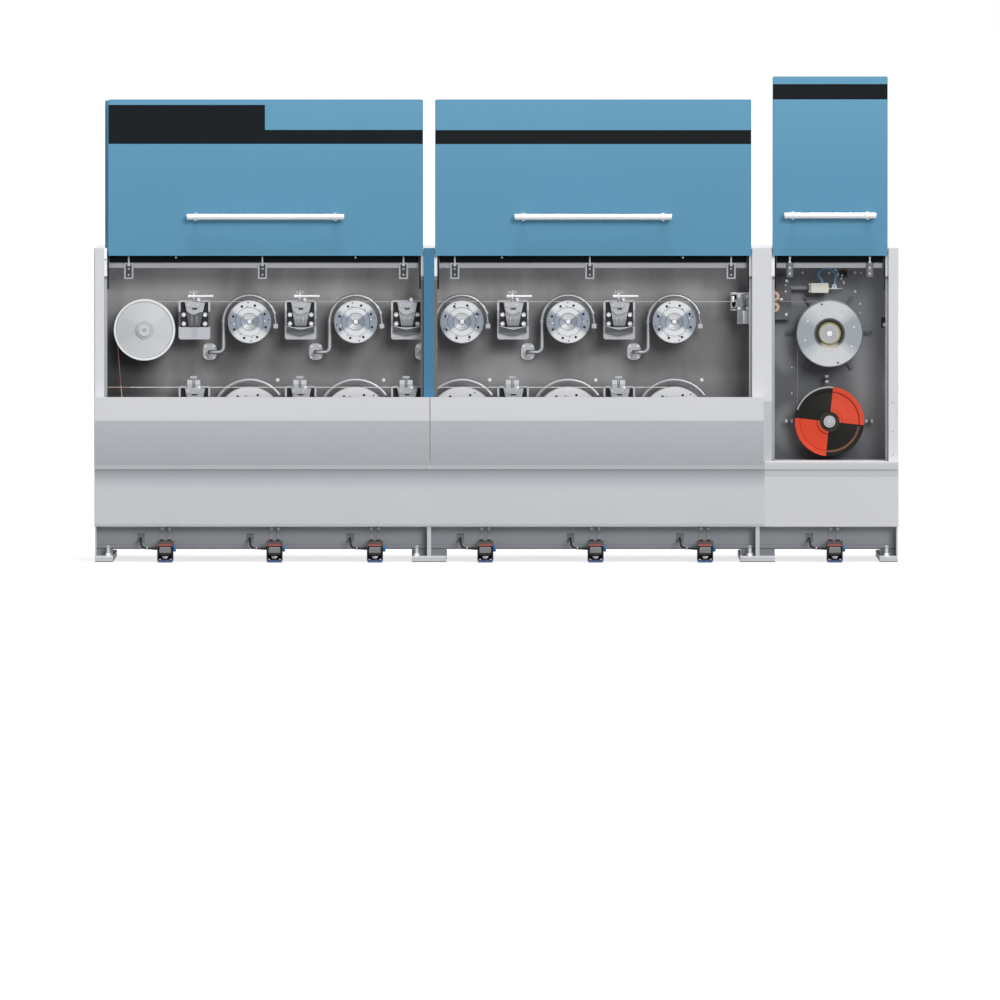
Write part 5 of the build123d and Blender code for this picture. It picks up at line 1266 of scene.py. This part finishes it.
# foot switches: red flap, blue cap, bracket screws, springs, lead ties and the treadles' grips
switchDetail = {
    "flap": (0.0, -0.7252, 0.1138), "flapHalf": (0.0394, 0.019, 0.001), "flapLean": 49,
    "cap": (0.048, -0.668, 0.084), "capReach": 0.0152, "capRadius": 0.0195,
    "screw": (0.0112, 0.008), "screwX": 0.022, "screwFace": -0.496, "screwZ": 0.1975,
    "footX": 0.032, "footY": -0.7582, "footZ": 0.02125, "footHalf": (0.006, 0.0012, 0.00225),
    "postXs": (-0.003, 0.0, 0.003), "postY": -0.7573, "postZ": (0.0185, 0.0435), "post": 0.0016,
    "leaves": ((0.0175, 0.0330, 0.0385), (0.0120, 0.0265, 0.0310)), "leafY": (-0.7592, -0.7556),
    "tie": (-0.112, -0.6675, 0.084), "tieRing": (0.0062, 0.0012, 0.006),
    "gripY": -0.744, "gripZ": 0.079516, "gripPitch": 0.016, "gripFall": 0.246, "gripHalf": 0.03, "grip": 0.0022,
    "toe": ((-0.034, -0.752, 0.0800), (0.034, -0.740, 0.0945)),
}
# bracket screws painted near white, painted light against the shade under the skirt
litScrewWhite = makePaint("litScrewWhite", {
    "dark": rgb(244, 245, 247), "light": rgb(253, 253, 254), "peel": 0.02, "roughness": 0.3,
})
bluePlastic = makePaint("switchBluePlastic", {
    "dark": rgb(42, 104, 172), "light": rgb(54, 120, 190), "peel": 0.02,
})
flapRed = makePaint("switchFlapRed", {
    "ramp": [
        (0.0985, rgb(78, 22, 16)), (0.101, rgb(128, 46, 36)), (0.108, rgb(122, 40, 32)),
        (0.112, rgb(58, 12, 9)), (0.128, rgb(24, 4, 4)),
    ],
    "vary": 0.1,
})


def dressSwitch(across):
    # across is the shift from the middle of the machine to this switch
    detail = switchDetail
    lean = Matrix.Rotation(math.radians(detail["flapLean"]), 4, "X")
    addBlockAt(switchFlaps, across + Vector(detail["flap"]), detail["flapHalf"], turn=lean)
    cap = across + Vector(detail["cap"])
    addRod(switchCaps, cap, cap + rightWays * detail["capReach"], detail["capRadius"], soften=0.003)
    for side in (-1, 1):
        screw = Vector((side * detail["screwX"], detail["screwFace"], detail["screwZ"]))
        addSocketScrew(switchBolts, across + screw, *detail["screw"])
        foot = Vector((side * detail["footX"], detail["footY"], detail["footZ"]))
        addBlockAt(switchSprings, across + foot, detail["footHalf"], soften=0.0008)
    # the spring stands just in front of the treadle's sweep
    for shift in detail["postXs"]:
        low, high = [across + Vector((shift, detail["postY"], z)) for z in detail["postZ"]]
        addRod(springPosts, low, high, detail["post"], segments=12)
    front, back = detail["leafY"]
    for half, low, high in detail["leaves"]:
        corners = [across + Vector(corner) for corner in ((-half, front, low), (half, back, high))]
        addBlock(switchSprings, *corners, soften=0.0008)
    addRing(switchSprings, across + Vector(detail["tie"]), *detail["tieRing"], way=rightWays, segments=20)


def dressTreadle(number, across):
    detail, grips = switchDetail, bmesh.new()
    for step in range(5):
        back = step * detail["gripPitch"]
        height = detail["gripZ"] - back * detail["gripFall"]
        ends = [across + Vector((side * detail["gripHalf"], detail["gripY"] + back, height)) for side in (-1, 1)]
        addRod(grips, *ends, detail["grip"], segments=10)
    # raised toe of the treadle, up to the flap
    addBlock(grips, *[across + Vector(corner) for corner in detail["toe"]], soften=0.0035)
    closePiece(grips, f"treadleGrips{number}", treadlePlastic, f"treadle_{number}")


switchFlaps, switchCaps, switchBolts, switchSprings, springPosts = startMeshes(5)
for x in switchXs:
    dressSwitch(rightWays * x)
closePiece(switchFlaps, "switchRedFlaps", flapRed)
closePiece(switchCaps, "switchBlueCaps", bluePlastic)
closePiece(switchBolts, "switchBracketScrews", litScrewWhite)
closePiece(springPosts, "springPosts", darkPaint)
closePiece(switchSprings, "switchSprings", pipeSteel)
for number, x in zip(switchNumbers, switchXs):
    dressTreadle(number, rightWays * x)

# guard handles: end caps and collars
handleDetail = {
    "y": -0.632, "inset": 0.0005, "cap": (0.004, 0.0, 0.0203, 0.0012), "collar": (0.052, 0.074, 0.0216, 0.001),
}
for door in ("left_door", "middle_door", "right_door"):
    low, high = boxOf(f"{door}_handle")
    caps = bmesh.new()
    for side, end in ((-1, low.x), (1, high.x)):
        edge = Vector((end - side * handleDetail["inset"], handleDetail["y"], (low.z + high.z) / 2))
        for start, stop, radius, soften in (handleDetail["cap"], handleDetail["collar"]):
            ends = [edge - rightWays * side * reach for reach in (start, stop)]
            addRod(caps, *ends, radius, soften=soften)
    closePiece(caps, f"{door}HandleCaps", handleSteel, door)
print("switches and handles dressed")


# floor: white to the camera, greyer to the light that it throws back
floorSettings = {
    "size": 900.0, "seen": (0.26, 0.26, 0.26), "thrown": (0.25, 0.25, 0.25), "glow": (0.76, 0.76, 0.76),
}
floorMesh = bmesh.new()
bmesh.ops.create_grid(floorMesh, x_segments=1, y_segments=1, size=floorSettings["size"])
floorData = bpy.data.meshes.new("studioFloor")
floorMesh.to_mesh(floorData)
floorMesh.free()
studioFloor = bpy.data.objects.new("studioFloor", floorData)
bpy.context.collection.objects.link(studioFloor)
floorMaterial, floorTree, floorShader, floorCoords = startMaterial("studioFloor")
feedAll(floorTree, floorShader, {
    "Base Color": mixColour(floorTree, seenRays(floorTree), floorSettings["thrown"], floorSettings["seen"]),
    "Emission Color": mixColour(floorTree, seenRays(floorTree), (0.0, 0.0, 0.0), floorSettings["glow"]),
    "Emission Strength": 1.0, "Roughness": 0.9, "Specular IOR Level": 0.1,
})
floorData.materials.append(floorMaterial)
studioFloor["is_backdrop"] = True

low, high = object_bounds()
